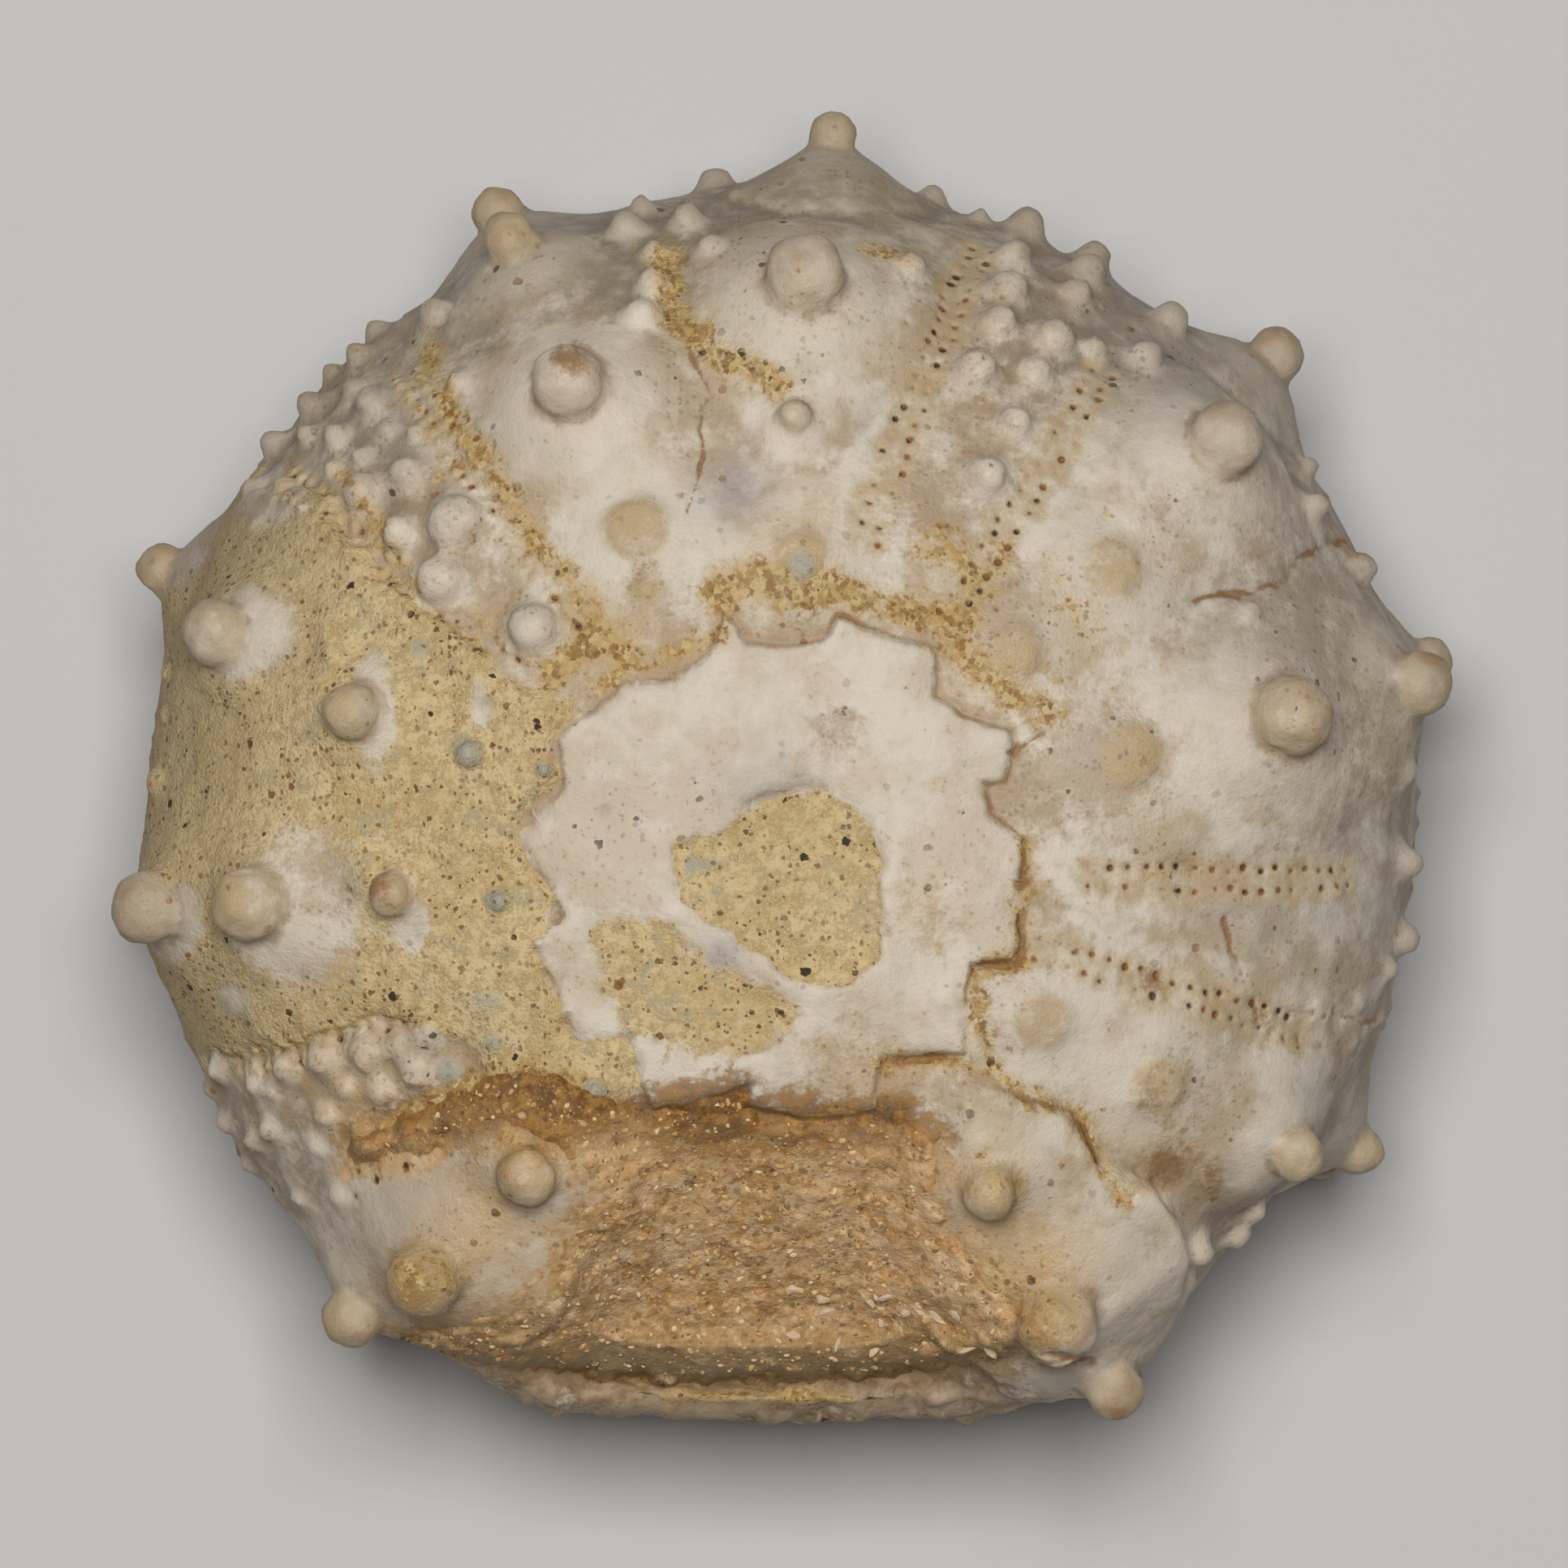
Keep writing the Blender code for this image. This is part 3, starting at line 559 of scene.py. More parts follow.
# Where the feet of two bosses meet, wear has rounded the crease between them.
FOOT_ROUNDS = 14
FOOT_WEAR = 0.7
ends = rows_of(shell.data.edges, "vertices", np.int32, 2)
one = np.concatenate((ends[:, 0], ends[:, 1]))
other = np.concatenate((ends[:, 1], ends[:, 0]))
neighbours = np.bincount(one, minlength=len(spots))


def smoothed(values):
    """The mean of each vertex's neighbours, along the shell's edges."""
    total = [np.bincount(one, values[other, k], len(values)) for k in range(3)]
    return np.stack(total, 1) / neighbours[:, None]


worn = np.zeros(len(spots))
on_boss = np.zeros(len(spots))
on_ball = np.zeros(len(spots))
for hx, hy, hz, head, small in heads:
    away = np.linalg.norm(spots - (hx, hy, hz), axis=1) / head
    if small:
        kept_sharp = 0.55 if hx < -4.0 and hy < -5.0 else 0.84
        on_boss = np.maximum(on_boss, (1.0 - smooth_step(away, 1.6, 2.4)) * kept_sharp)
        worn = np.maximum(worn, 1.0 - smooth_step(away, 2.0, 3.0))
    else:
        on_boss = np.maximum(on_boss, 1.0 - smooth_step(away, 1.9, 2.4))
        worn = np.maximum(worn, 1.0 - smooth_step(away, 4.0, 5.2))
        on_ball = np.maximum(on_ball, 1.0 - smooth_step(away, 1.05, 1.30))
worn *= 1.0 - on_boss
for _ in range(FOOT_ROUNDS):
    spots += (smoothed(spots) - spots) * worn[:, None] * FOOT_WEAR

# The matrix: tan limy rock that still clings to the left of the shell, up to the bosses' tops.
MATRIX = (
    (-18, 9.8), (-14.2, 8.2), (-12.38, 6.94), (-10.96, 6.78), (-10.34, 5.52), (-9.54, 4.88),
    (-8.44, 3.94), (-7.5, 3.32), (-6.88, 2.68), (-6.24, 2.22), (-5.3, 1.9), (-4.66, 1.42),
    (-5.3, 0.96), (-5.46, 0.48), (-5.22, 0), (-5.92, -0.62), (-6.48, -1.32), (-6.02, -2.12),
    (-5.42, -2.82), (-5.52, -3.52), (-6.08, -4.4), (-5.72, -5.02), (-5.46, -5.42), (-5.14, -6.46),
    (-4.42, -6.42), (-3.56, -6.62), (-3.52, -7.52), (-4.12, -7.92), (-5, -7.84), (-5.68, -7.16),
    (-7.24, -7.38), (-7.52, -6.62), (-8.52, -6.16), (-9.72, -6.08), (-11.32, -6.28),
    (-12.72, -6.72), (-14.28, -6.92), (-18, -7.8),
)
VENT_FILL = (
    (0.92, -0.44), (1.64, -0.76), (2.12, -1.4), (2.36, -2.2), (2.36, -3.48), (2.28, -4.44),
    (1.64, -5.08), (0.68, -5.16), (0.12, -4.92), (-0.44, -4.44), (-1.16, -4.12), (-1.24, -3.8),
    (-2.04, -3.48), (-2.44, -3), (-2.68, -2.36), (-2.68, -1.72), (-2.04, -1.48), (-1.48, -1.48),
    (-1.16, -1.08), (-0.6, -0.68), (0.36, -0.44),
)
PLATE_FILL = (
    (-4.92, -4.12), (-4.6, -3.56), (-3.64, -3.4), (-2.68, -3.64), (-2.04, -4.12), (-1.96, -4.76),
    (-1.08, -4.84), (-0.28, -5.16), (0.28, -5.56), (0.2, -6.2), (-0.6, -6.68), (-1.32, -6.92),
    (-2.32, -6.72), (-3.32, -6.44), (-3.92, -6.16), (-4.36, -5.52), (-4.42, -4.72),
)
MATRIX_LEVEL = 0.42
MATRIX_LEAN = 0.40
MATRIX_FILLET = 0.16
MATRIX_FOOT = 4.2
TILT_FADES = 2.3
# Where it has fallen off, plan place and two half widths, and its round grey crumbs.
CLEAN_SPOTS = (
    (-12.62, 3.38, 1.1, 1.2), (-9.92, 1.48, 0.5, 1.7), (-11.5, -3.22, 1.7, 2.1),
    (-14.2, 5.2, 1.3, 1.3), (-15.8, -3, 0.9, 1.1), (-9.02, -3.6, 0.5, 0.7), (-7.3, 1.66, 0.3, 0.6),
    (-13.4, -5.5, 0.5, 0.5), (-4.9, -5, 0.45, 0.9), (-12.4, 6.7, 1.5, 0.8), (-14.5, 7.7, 1.3, 0.9),
)
GREY_DOTS = (
    (-7.62, 0.48, 0.36), (-5.82, 0.1, 0.2), (-6.94, -3.08, 0.28), (-7, -5.54, 0.24),
    (-7.08, -6.46, 0.28), (-8.1, -7.14, 0.36), (-4.6, -7.76, 0.36), (-8.9, 3.1, 0.2),
    (-2.22, -2.22, 0.24), (0.42, 5.04, 0.36),
)
above = np.empty(len(spots))
for i, spot in enumerate(spots):
    foot, normal = bare_shell.find_nearest(spot)[:2]
    above[i] = (Vector(spot) - foot).dot(normal)
    facing[i] = normal
x, y, z = spots.T.copy()
wobble = 0.07 * lumps(spots, 0.45) + 0.03 * lumps(spots, 0.16, 5.0)
broad = lumps(spots, 1.0, 21.0)
level = MATRIX_LEVEL + 0.09 * broad + 0.05 * lumps(spots, 0.42, 22.0)
for hx, hy, hz, head, small in heads:
    if hx < -7.0 and not small:
        gap = np.hypot(x - hx, y - hy) + 0.01
        side = (0.95 * (x - hx) - 0.3 * (y - hy)) / gap
        level -= MATRIX_LEAN * side * bell(gap, TILT_FADES * head)
level *= np.interp(y, (-7.4, -5.2), (0.30, 1.0))
level *= np.interp(z, (4.0, 9.7, 13.3, 16.8, 17.6), (0.35, 0.22, 1.0, 1.0, 0.62))
loose = 0.22 + 0.9 * (1.0 - smooth_step(z, 9.0, 13.0))
edge = inside_depth(MATRIX, x, y) + wobble * 3.5 + loose * (broad + lumps(spots, 2.6, 23.0))
covered = smooth_step(edge, -0.34, 0.30)
foot = MATRIX_FOOT + 2.6 * lumps(spots, 3.2, 24.0)
covered *= smooth_step(z + 0.8 * broad, foot, foot + 1.0)
level = level * covered - 0.3 * (1.0 - covered)
tan_share = covered * smooth_step(level - above, -1.00, -0.30)
rise = 0.5 * (level - above + np.sqrt((above - level) ** 2 + MATRIX_FILLET ** 2))
spots += facing * (rise * covered)[:, None]

# Relief: the raised disc with its filled vent and lost plate, seams, cracks, ridges (each a
# line, width and height) and pores.
DISC_LIFT = 0.34
FILL_SINKS = 0.62
OVERHANG = ((-1.0, -0.85), (-0.6, -0.60), (0.36, -0.36), (1.10, -0.30))
RIDGES = (
    (((2.58, 8.88), (1.48, 7.28), (1.38, 6.28)), 0.14, 0.07),
    (((2.88, -0.88), (2.6, -2.54)), 0.2, 0.1), (((4.58, -4.72), (4.6, -6.72)), 0.3, 0.08),
    (((9.28, -10.52), (9.88, -11.72), (8.28, -12.92), (7.48, -14.22)), 0.45, 0.22),
    (((-5.9, 4.6), (-8.4, 8)), 0.35, 0.08),
)
facing = rows_of(shell.data.vertices, "normal")
x, y, z = spots.T.copy()
top_side = z > AMBITUS_HEIGHT
disc_depth = inside_depth(APICAL_DISC, x, y) + wobble
on_disc = smooth_step(disc_depth, -0.05, 0.09) * top_side
vent_in = smooth_step(inside_depth(VENT_FILL, x, y) + wobble * 1.6, -0.10, 0.10) * top_side
plate_in = smooth_step(inside_depth(PLATE_FILL, x, y) + wobble * 2.2, -0.16, 0.10) * top_side
filled = np.maximum(vent_in, plate_in * 0.8)
lift = DISC_LIFT + 0.12 * lumps(spots, 1.7, 31.0) + 0.05 * lumps(spots, 0.7, 32.0)
lift = lift * on_disc * (1.0 - FILL_SINKS * filled)
seam = bell(disc_depth + 0.08, 0.09) * top_side
lift -= np.clip(0.05 + 0.10 * lumps(spots, 1.6, 33.0), 0.0, 0.12) * seam * (1.0 - covered)
lift -= 0.08 * np.exp(-np.maximum(disc_depth, 0.0) / 0.5) * on_disc
lift -= 0.30 * bell(line_gap(OVERHANG, x, y), 0.13) * top_side
wander = 0.16 * lumps(spots, 0.9, 12.0) + 0.08 * lumps(spots, 0.35, 13.0)
thick = 0.85 + 0.7 * lumps(spots, 0.6, 14.0)
strong = np.clip(0.75 + 0.9 * lumps(spots, 1.3, 15.0), 0.25, 1.3)
groove = np.zeros(len(spots))
for line, width, depth in CRACKS:
    gap = line_gap(line, x + wander, y - wander)
    cut = bell(gap, width * thick) * top_side * strong
    lift -= depth * cut
    groove = np.maximum(groove, cut)
dark_seam = seam * smooth_step(x, 0.4, 1.4) * smooth_step(y, -6.6, -5.6) * (1.0 - covered)
groove = np.maximum(groove, 0.75 * dark_seam * strong)
ridge = np.zeros(len(spots))
for line, width, height in RIDGES:
    gap = line_gap(line, x + wander, y + wander)
    crest = bell(gap, width) * top_side
    lift += height * crest
    ridge = np.maximum(ridge, crest)
grey_dot = np.zeros(len(spots))
for sx, sy, width in GREY_DOTS:
    gap = np.hypot(x - sx, y - sy) / width
    grey_dot = np.maximum(grey_dot, (1.0 - smooth_step(gap, 0.75, 1.1)) * top_side)
    lift += (0.14 * bell(gap, 1.0) - 0.05 * bell(gap - 1.25, 0.3)) * top_side
tan_share = np.maximum(tan_share * (1.0 - 0.8 * on_disc), filled)
for sx, sy, wide, tall in CLEAN_SPOTS:
    ground = below(bare_shell, sx, sy)
    sz = ground.z if ground else AMBITUS_HEIGHT
    gap = np.sqrt(((x - sx) / wide) ** 2 + ((y - sy) / tall) ** 2 + ((z - sz) / 2.2) ** 2)
    tan_share *= 1.0 - np.exp(-(gap * 0.95) ** 3) * 0.92

# The edge of the stove-in side is rough and stained, and sand sticks round the gap.
rim = smooth_step(SHELL_CENTRE[1] - y + wander, 12.9, 13.3) * smooth_step(z, 5.0, 7.0)
rim *= (1.0 - smooth_step(np.abs(x + 0.5), 5.5, 9.0)) * (z < 12.0)
soil = smooth_step(inside_depth(SEDIMENT, x, y) + wobble * 5.0, -1.5, 0.4) * top_side
pore_strength = [0.35 + 0.65 * chance.random() for _ in pores]
pit = np.zeros(len(spots))
bead = np.zeros(len(spots))
for i in np.flatnonzero(z > PORES_ABOVE):
    spot, number, gap = pore_tree.find(spots[i])
    if gap < 0.8:
        plan = Vector(spots[i]) - spot
        plan -= Vector(facing[i]) * plan.dot(Vector(facing[i]))
        share = plan.length / PORE_RADIUS
        if pores[number][1]:
            bead[i] = bell(share, 1.35) * (0.4 + 0.6 * pore_strength[number])
        else:
            pit[i] = pore_strength[number] * bell(share, 1.0)
grit = tan_share + bead + 0.6 * soil
rough = 0.055 * lumps(spots, 0.95, 3.0) * (1.0 - 0.2 * on_disc) + 0.026 * lumps(spots, 0.36, 9.0)
rough += grit * 0.036 * lumps(spots, 0.24, 16.0) + rim * 0.17 * lumps(spots, 0.75, 17.0)
rough += rim * 0.10 * lumps(spots, 0.33, 18.0)
rough += on_ball * (0.085 * lumps(spots, 0.62, 41.0) + 0.035 * lumps(spots, 0.26, 42.0))
spots[:, 2] += lift
spots += facing * (rough + BEAD_HEIGHT * bead - PORE_DEPTH * pit)[:, None]
move_to(shell, spots)
shell.data.shade_smooth()
outer_skin = skin_of(shell, spots)


def hollows_of(piece, rounds):
    """How far each vertex lies below the smoothed surface, above zero in hollows."""
    start = smooth = places_of(piece)
    for _ in range(rounds):
        smooth = smoothed(smooth)
    return ((smooth - start) * rows_of(piece.data.vertices, "normal")).sum(axis=1)


def store(piece, name, values):
    """Keep one number per vertex for the piece's material."""
    layer = piece.data.attributes.new(name, "FLOAT", "POINT")
    layer.data.foreach_set("value", np.asarray(values, np.float32))


# Painted shade: how far each vertex lies below its skin smoothed a little and smoothed much, kept
# to darken the creases and the valleys between the bosses.
HOLLOW_SHADE_ROUNDS = 14
VALLEY_SHADE_ROUNDS = 110
hollow_shade = hollows_of(shell, HOLLOW_SHADE_ROUNDS)
valley_shade = hollows_of(shell, VALLEY_SHADE_ROUNDS)
head_share = np.zeros(len(spots))
neck_shade_share = np.zeros(len(spots))
boss_share = knob * 0.8
for (hx, hy, hz, head, small), is_worn in zip(heads, worn_heads):
    reach = head * (2.0 if small else 4.0)
    near = np.flatnonzero((np.abs(x - hx) < reach) & (np.abs(y - hy) < reach))
    away = np.linalg.norm(spots[near] - (hx, hy, hz), axis=1) / head
    if small:
        boss_share[near] = np.maximum(boss_share[near], 1.0 - smooth_step(away, 1.0, 1.6))
        continue
    tint = 0.35 + 0.65 * chance.random()
    if is_worn:
        away *= 1.12
        tint = 1.15
        hollow_shade[near] *= smooth_step(away, 1.6, 3.2)
        valley_shade[near] *= smooth_step(away, 1.6, 3.2)
    on_head = (1.0 - smooth_step(away, 1.02, 1.22)) * tint
    head_share[near] = np.maximum(head_share[near], on_head)
    out = np.array((hx, hy - SHELL_CENTRE[1])) / math.hypot(hx, hy - SHELL_CENTRE[1])
    side = ((spots[near, 0] - hx) * out[0] + (spots[near, 1] - hy) * out[1]) / head
    # Painted shadow: a dark ring where the ball sits on its boss, most on the outward side, little
    # of it on worn heads.
    ring = smooth_step(away, 0.93, 1.12) * (1.0 - smooth_step(away, 1.25, 1.55))
    ring *= np.clip(0.55 + 0.6 * side, 0.1, 1.0) * (0.15 if is_worn else 1.0)
    neck_shade_share[near] = np.maximum(neck_shade_share[near], ring)
    boss_share[near] = np.maximum(boss_share[near], 1.0 - smooth_step(away, 1.8, 3.3))

# Where iron, lime and dust have coloured the shell: lines and spots, each with a width and a
# strength.
OCHRE_LINES = (
    (((-2.88, 12.68), (-2.72, 11.08), (-1.72, 10.28), (-0.2, 9.5)), 0.45, 0.9),
    (((1.9, 12.9), (3.1, 12.5)), 0.25, 0.7),
    (((-1.52, 4.4), (-0.9, 4.75), (-0.3, 4.6), (0.9, 4.5)), 0.6, 1.05),
    (((1.5, 4.4), (3.2, 3.9), (4.5, 3.7)), 0.42, 0.95),
    (((3.6, 5.5), (4.9, 4.7), (5.3, 5.3)), 0.5, 0.8),
    (((-1.5, 3.3), (-2.6, 2.9), (-3.7, 2.6), (-4.5, 2.2)), 0.3, 0.8),
    (((4.1, 3.2), (5.2, 2.2), (6.4, 1.5)), 0.5, 0.75),
    (((-4.5, 3.9), (-6.2, 5.9), (-8, 8.6), (-8.7, 10.4)), 0.4, 0.72),
    (((-5.6, 2.3), (-4.7, 3.3), (-3.8, 2.9)), 0.5, 0.85),
    (((-9.8, -8.9), (-8.1, -7.9), (-6.5, -7.2), (-5.2, -7.4)), 0.45, 0.9),
    (((5.8, -1.7), (5.7, -4.5), (4.6, -4.7), (4.9, -6.9), (5.7, -7.8), (7, -8.2), (7.6, -9.3),
      (8.3, -10.3)), 0.32, 0.62), (((2.3, -6.9), (4.5, -7)), 0.28, 0.7),
    (((-9, -12.3), (-8.5, -12.4)), 0.75, 0.6), (((4.9, -9.7), (5.6, -9.9)), 0.5, 0.45),
    (((4.4, -12.6), (6.4, -13)), 0.9, 0.35), (((6.6, 4.6), (7.6, 3.4)), 0.7, 0.3),
    (((-7.4, -9.6), (-6.6, -9)), 0.7, 0.4), (((8.3, 2), (9, -2.3)), 0.5, 0.3),
    (((-2.9, -15.2), (1.5, -15.3)), 0.14, 0.8), (((-8.9, 4.6), (-10.9, 7.6)), 0.3, 0.55),
)
STAINS = (
    (-3.42, 4.42, 0.55, 0.9), (5.18, 5.08, 0.45, 0.8), (9.36, -7.52, 0.6, 0.6),
    (9.68, -10.52, 0.7, 0.6), (14.36, 0.48, 0.4, 0.5), (-0.76, 6, 0.3, 0.3),
    (8.68, 0.48, 1.3, 0.55), (8.2, 5.16, 0.9, 0.5), (-3.62, 6.08, 0.7, 0.85),
    (0.38, 5.28, 0.8, 0.4), (6.4, 2.6, 0.9, 0.4), (9.2, -7.9, 0.8, 0.5), (3.3, -3.4, 0.7, 0.45),
    (5.26, -9.9, 0.8, 0.8), (-8.78, -12.32, 0.9, 1), (-9.52, -2.92, 0.6, 0.8),
    (-8.1, -9.2, 0.8, 0.5), (-5.18, 9.9, 0.7, 0.5), (-3.1, -0.4, 0.4, 0.3), (-13.6, -3.1, 0.8, 1),
    (-10.9, 1.5, 0.8, 1),
)
RUST_SPOTS = (
    (9.4, -9.5, 0.8, 0.8), (8.9, -8, 0.4, 0.6), (-5.2, 10.1, 0.55, 0.9), (-9.95, -2.7, 0.5, 0.9),
    (5.9, 1.6, 0.5, 0.7), (8.9, -5, 0.45, 0.7), (14.2, 5.9, 0.7, 0.8), (-3.5, 4.9, 0.4, 0.5),
    (5.5, 5.2, 0.4, 0.7), (4.9, -13.9, 0.6, 0.8), (10.3, -9.9, 0.6, 0.6), (-8.85, -12.4, 0.8, 1),
    (11.6, -5.9, 0.35, 0.6), (4.3, 3, 0.45, 0.7), (9.6, -2.1, 0.35, 0.5),
)
BLUSHES = (
    (7.6, 0.3, 2, 1), (10.5, -3.6, 2.6, 0.4), (5.2, 3.6, 1.7, 0.9), (1.5, -7, 1.6, 0.6),
    (1.3, 1.1, 0.8, 0.9), (3.6, 6.6, 1.6, 0.9), (0.8, 5.5, 1.3, 0.6), (-3.2, 4.2, 1.3, 0.8),
    (5.4, 3, 1.5, 0.9), (6.2, -12.6, 1.5, 0.9), (-7.5, -11.5, 1.9, 0.7), (12.3, 4.5, 2.4, 0.7),
    (3.4, -3.4, 1.2, 0.6), (9.6, -7.6, 1.5, 0.7), (-3, 8.5, 1.2, 0.5), (4.3, 11, 2.2, 0.8),
    (0.5, 10.8, 1, 0.3), (12.2, -1, 1.6, 0.5), (-8.8, 11, 2, 0.5), (5.4, -12, 1.6, 0.8),
    (12.4, 2.9, 1.6, 0.8), (-11.2, -2.4, 1.6, 0.8), (9.5, 6.4, 1.6, 0.6), (14.5, 1, 2, 0.7),
)
WARM_SPOTS = (
    (4.8, -10.9, 1.6, 0.8), (6, -12.3, 1.7, 0.9), (5.2, -9.2, 0.9, 0.5), (-7.8, -10.9, 2.2, 0.9),
    (-6.4, -8.9, 1.6, 1), (-5.2, -11.6, 1.2, 0.9), (-9, -12.2, 1.3, 0.9), (-10.4, -8, 1.2, 0.6),
    (-0.5, -15.3, 2.5, 0.5), (9.4, -9.6, 1, 0.8), (7.6, -8.9, 0.6, 0.5), (5, 2.6, 1, 0.5),
    (0.2, 5.4, 1.2, 0.5), (-4, 3.4, 1, 0.5), (3.3, -3.3, 0.7, 0.5), (2, -7.4, 1.2, 0.4),
)
GREY_SPOTS = (
    (-1.22, 6.88, 0.85, 1), (-7.52, 2.98, 0.7, 0.9), (2.2, 8.6, 0.8, 0.5), (11.5, -3.3, 1.4, 0.5),
    (-9.2, -10, 1.6, 0.5), (13, -8, 1.5, 0.4), (-0.4, -0.2, 1.1, 0.5), (-1.5, -4.4, 0.5, 0.9),
    (-9.5, 4.9, 0.6, 0.7), (9, 9.5, 2, 0.5), (-9.5, 8.5, 1.6, 0.4), (12, 3.4, 2.6, 0.5),
    (14, -3, 2.4, 0.5),
)


BAND_STAIN = 9.5
HALO_WIDTH = 1.7


def patches(sorts):
    """The strongest of some soft round patches at each vertex."""
    share = np.zeros(len(spots))
    for sx, sy, width, strength in sorts:
        gap = np.hypot(x - sx, y - sy)
        share = np.maximum(share, strength * bell(gap, width) * top_side)
    return share


ochre = bead * 0.5
stain = patches(STAINS)
for i in np.flatnonzero(z > PORES_ABOVE - 0.5):
    number, gap = pore_tree.find(spots[i])[1:]
    if pores[number][1]:
        ochre[i] = max(ochre[i], 0.62 * bell(gap, 0.20))
    stain[i] = max(stain[i], 0.75 * bell(gap, 0.45))
for line, width, strength in OCHRE_LINES:
    ochre = np.maximum(ochre, strength * bell(line_gap(line, x, y), width) * top_side)
blush = patches(BLUSHES)
turn = np.degrees(np.arctan2(y - SHELL_CENTRE[1], x))
for azimuth in BANDS:
    off = (turn - azimuth + 180.0) % 360.0 - 180.0
    band = bell(off, BAND_STAIN) * smooth_step(np.hypot(x, y), 5.0, 8.0)
    blush = np.maximum(blush, (0.36 if azimuth > 300.0 or azimuth < 30.0 else 0.62) * band)
halo = bell(np.minimum(disc_depth, 0.0), HALO_WIDTH) * (1.0 - on_disc) * top_side
blush = np.maximum(blush, halo * (0.6 + 0.6 * lumps(spots, 1.6, 25.0)))
plug_share = (1.0 - smooth_step(np.hypot(x, y - SHELL_CENTRE[1]), 5.9, 6.4)) * (z < 3.2)
for name, values in (
    ("hollow_shade", hollow_shade), ("head", head_share), ("ring", neck_shade_share), ("ochre", ochre),
    ("stain", stain), ("grey", patches(GREY_SPOTS)), ("pit", pit), ("plug", plug_share),
    ("groove", groove), ("ridge", ridge), ("boss", boss_share), ("valley_shade", valley_shade),
    ("blush", blush), ("rust", patches(RUST_SPOTS)), ("warm", patches(WARM_SPOTS)),
    ("disc", on_disc), ("tan", tan_share), ("dot", grey_dot), ("rim", rim), ("soil", soil),
):
    store(shell, name, values)


def stand(piece):
    """Bring a piece from its working millimetres to its place in the frame."""
    piece.data.transform(Matrix.Scale(MM, 4) @ Matrix.Translation(STANDS_AT))


stand(shell)


def paint(red, green, blue):
    """A colour given as it looks on a screen, 0 to 255, as a socket takes it."""
    return tuple((part / 255.0) ** 2.2 for part in (red, green, blue)) + (1.0,)


class Shade:
    """A socket in a material; arithmetic on it adds the Math nodes that it needs."""

    def __init__(self, tree, socket):
        self.tree = tree
        self.socket = socket

    def node(self, kind, settings, values, out=0):
        """Add a node: its settings first, then the values or links of its sockets."""
        made = self.tree.nodes.new(kind)
        for name, value in settings.items():
            setattr(made, name, value)
        for name, value in values.items():
            if isinstance(value, Shade):
                self.tree.links.new(value.socket, made.inputs[name])
            else:
                made.inputs[name].default_value = value
        return Shade(self.tree, made.outputs[out])

    def maths(self, operation, first, second):
        return self.node("ShaderNodeMath", {"operation": operation}, {0: first, 1: second})

    def __add__(self, other):
        return self.maths("ADD", self, other)

    __radd__ = __add__

    def __sub__(self, other):
        return self.maths("SUBTRACT", self, other)

    def __rsub__(self, other):
        return self.maths("SUBTRACT", other, self)

    def __mul__(self, other):
        return self.maths("MULTIPLY", self, other)

    __rmul__ = __mul__

    def __pow__(self, other):
        return self.maths("POWER", self, other)

    def most(self, other):
        return self.maths("MAXIMUM", self, other)

    def step(self, low, high):
        """0 below low, 1 above high, and smooth between."""
        return self.node("ShaderNodeMapRange", {"interpolation_type": "SMOOTHSTEP"},
                         {"Value": self, "From Min": low, "From Max": high})

    def between(self, colour, other):
        """Mix two colours: the first where this is 0, the other where it is 1."""
        return self.node("ShaderNodeMix", {"data_type": "RGBA"}, {0: self, 6: colour, 7: other}, 2)

    def vector(self, operation, other, out=0):
        """Vector Math with another vector."""
        kind = "ShaderNodeVectorMath"
        return self.node(kind, {"operation": operation}, {0: self, 1: other}, out)

    def part(self, number):
        """One of the three parts of a colour or of coordinates."""
        return self.node("ShaderNodeSeparateColor", {}, {0: self}, number)

    def clouds(self, scale, detail=2.0, roughness=0.5, out=0):
        return self.node("ShaderNodeTexNoise", {}, {"Vector": self, "Scale": scale,
                                                    "Detail": detail, "Roughness": roughness}, out)

    def grains(self, scale, out="Distance"):
        return self.node("ShaderNodeTexVoronoi", {}, {"Vector": self, "Scale": scale}, out)

    def also(self, out):
        """Another output of the node that this socket belongs to."""
        return Shade(self.tree, self.socket.node.outputs[out])

    def specks(self, least, most):
        """From distances in cells, specks of all sizes, their reach from least to most."""
        size = self.also("Color").part(0) ** 2.0
        return (least + (most - least) * size - self).step(0.0, 0.035)

    def kept(self, name):
        """A number that the mesh keeps at each vertex."""
        return self.node("ShaderNodeAttribute", {"attribute_name": name}, {}, "Fac")

    def bump(self, distance, strength=1.0):
        return self.node("ShaderNodeBump", {}, {"Height": self, "Distance": distance,
                                                "Strength": strength})


def new_stone(name):
    """A material, its shader, and Object coordinates in millimetres to paint it by."""
    material = bpy.data.materials.new(name)
    material.use_nodes = True
    tree = material.node_tree
    shader = tree.nodes["Principled BSDF"]
    coords = Shade(tree, tree.nodes.new("ShaderNodeTexCoord").outputs["Object"])
    return material, shader, coords.vector("MULTIPLY", (1.0 / MM,) * 3)


def finish_stone(material, shader, colour, roughness, normal):
    """Lead the painted colour, roughness and relief to the shader."""
    for name, shade in (("Base Color", colour), ("Roughness", roughness), ("Normal", normal)):
        material.node_tree.links.new(shade.socket, shader.inputs[name])


MILK = paint(212, 200, 181)
CREAM = paint(184, 164, 136)
ROSY_TAN = paint(166, 143, 115)
# Painted shade colour for the valleys on the flanks.
FLANK_SHADE_GREY = paint(140, 128, 111)
COLD_GREY = paint(156, 149, 142)
# Painted shade colour for creases and the outer edge.
EDGE_SHADE_GREY = paint(122, 109, 92)
HEAD_TAN = paint(184, 160, 122)
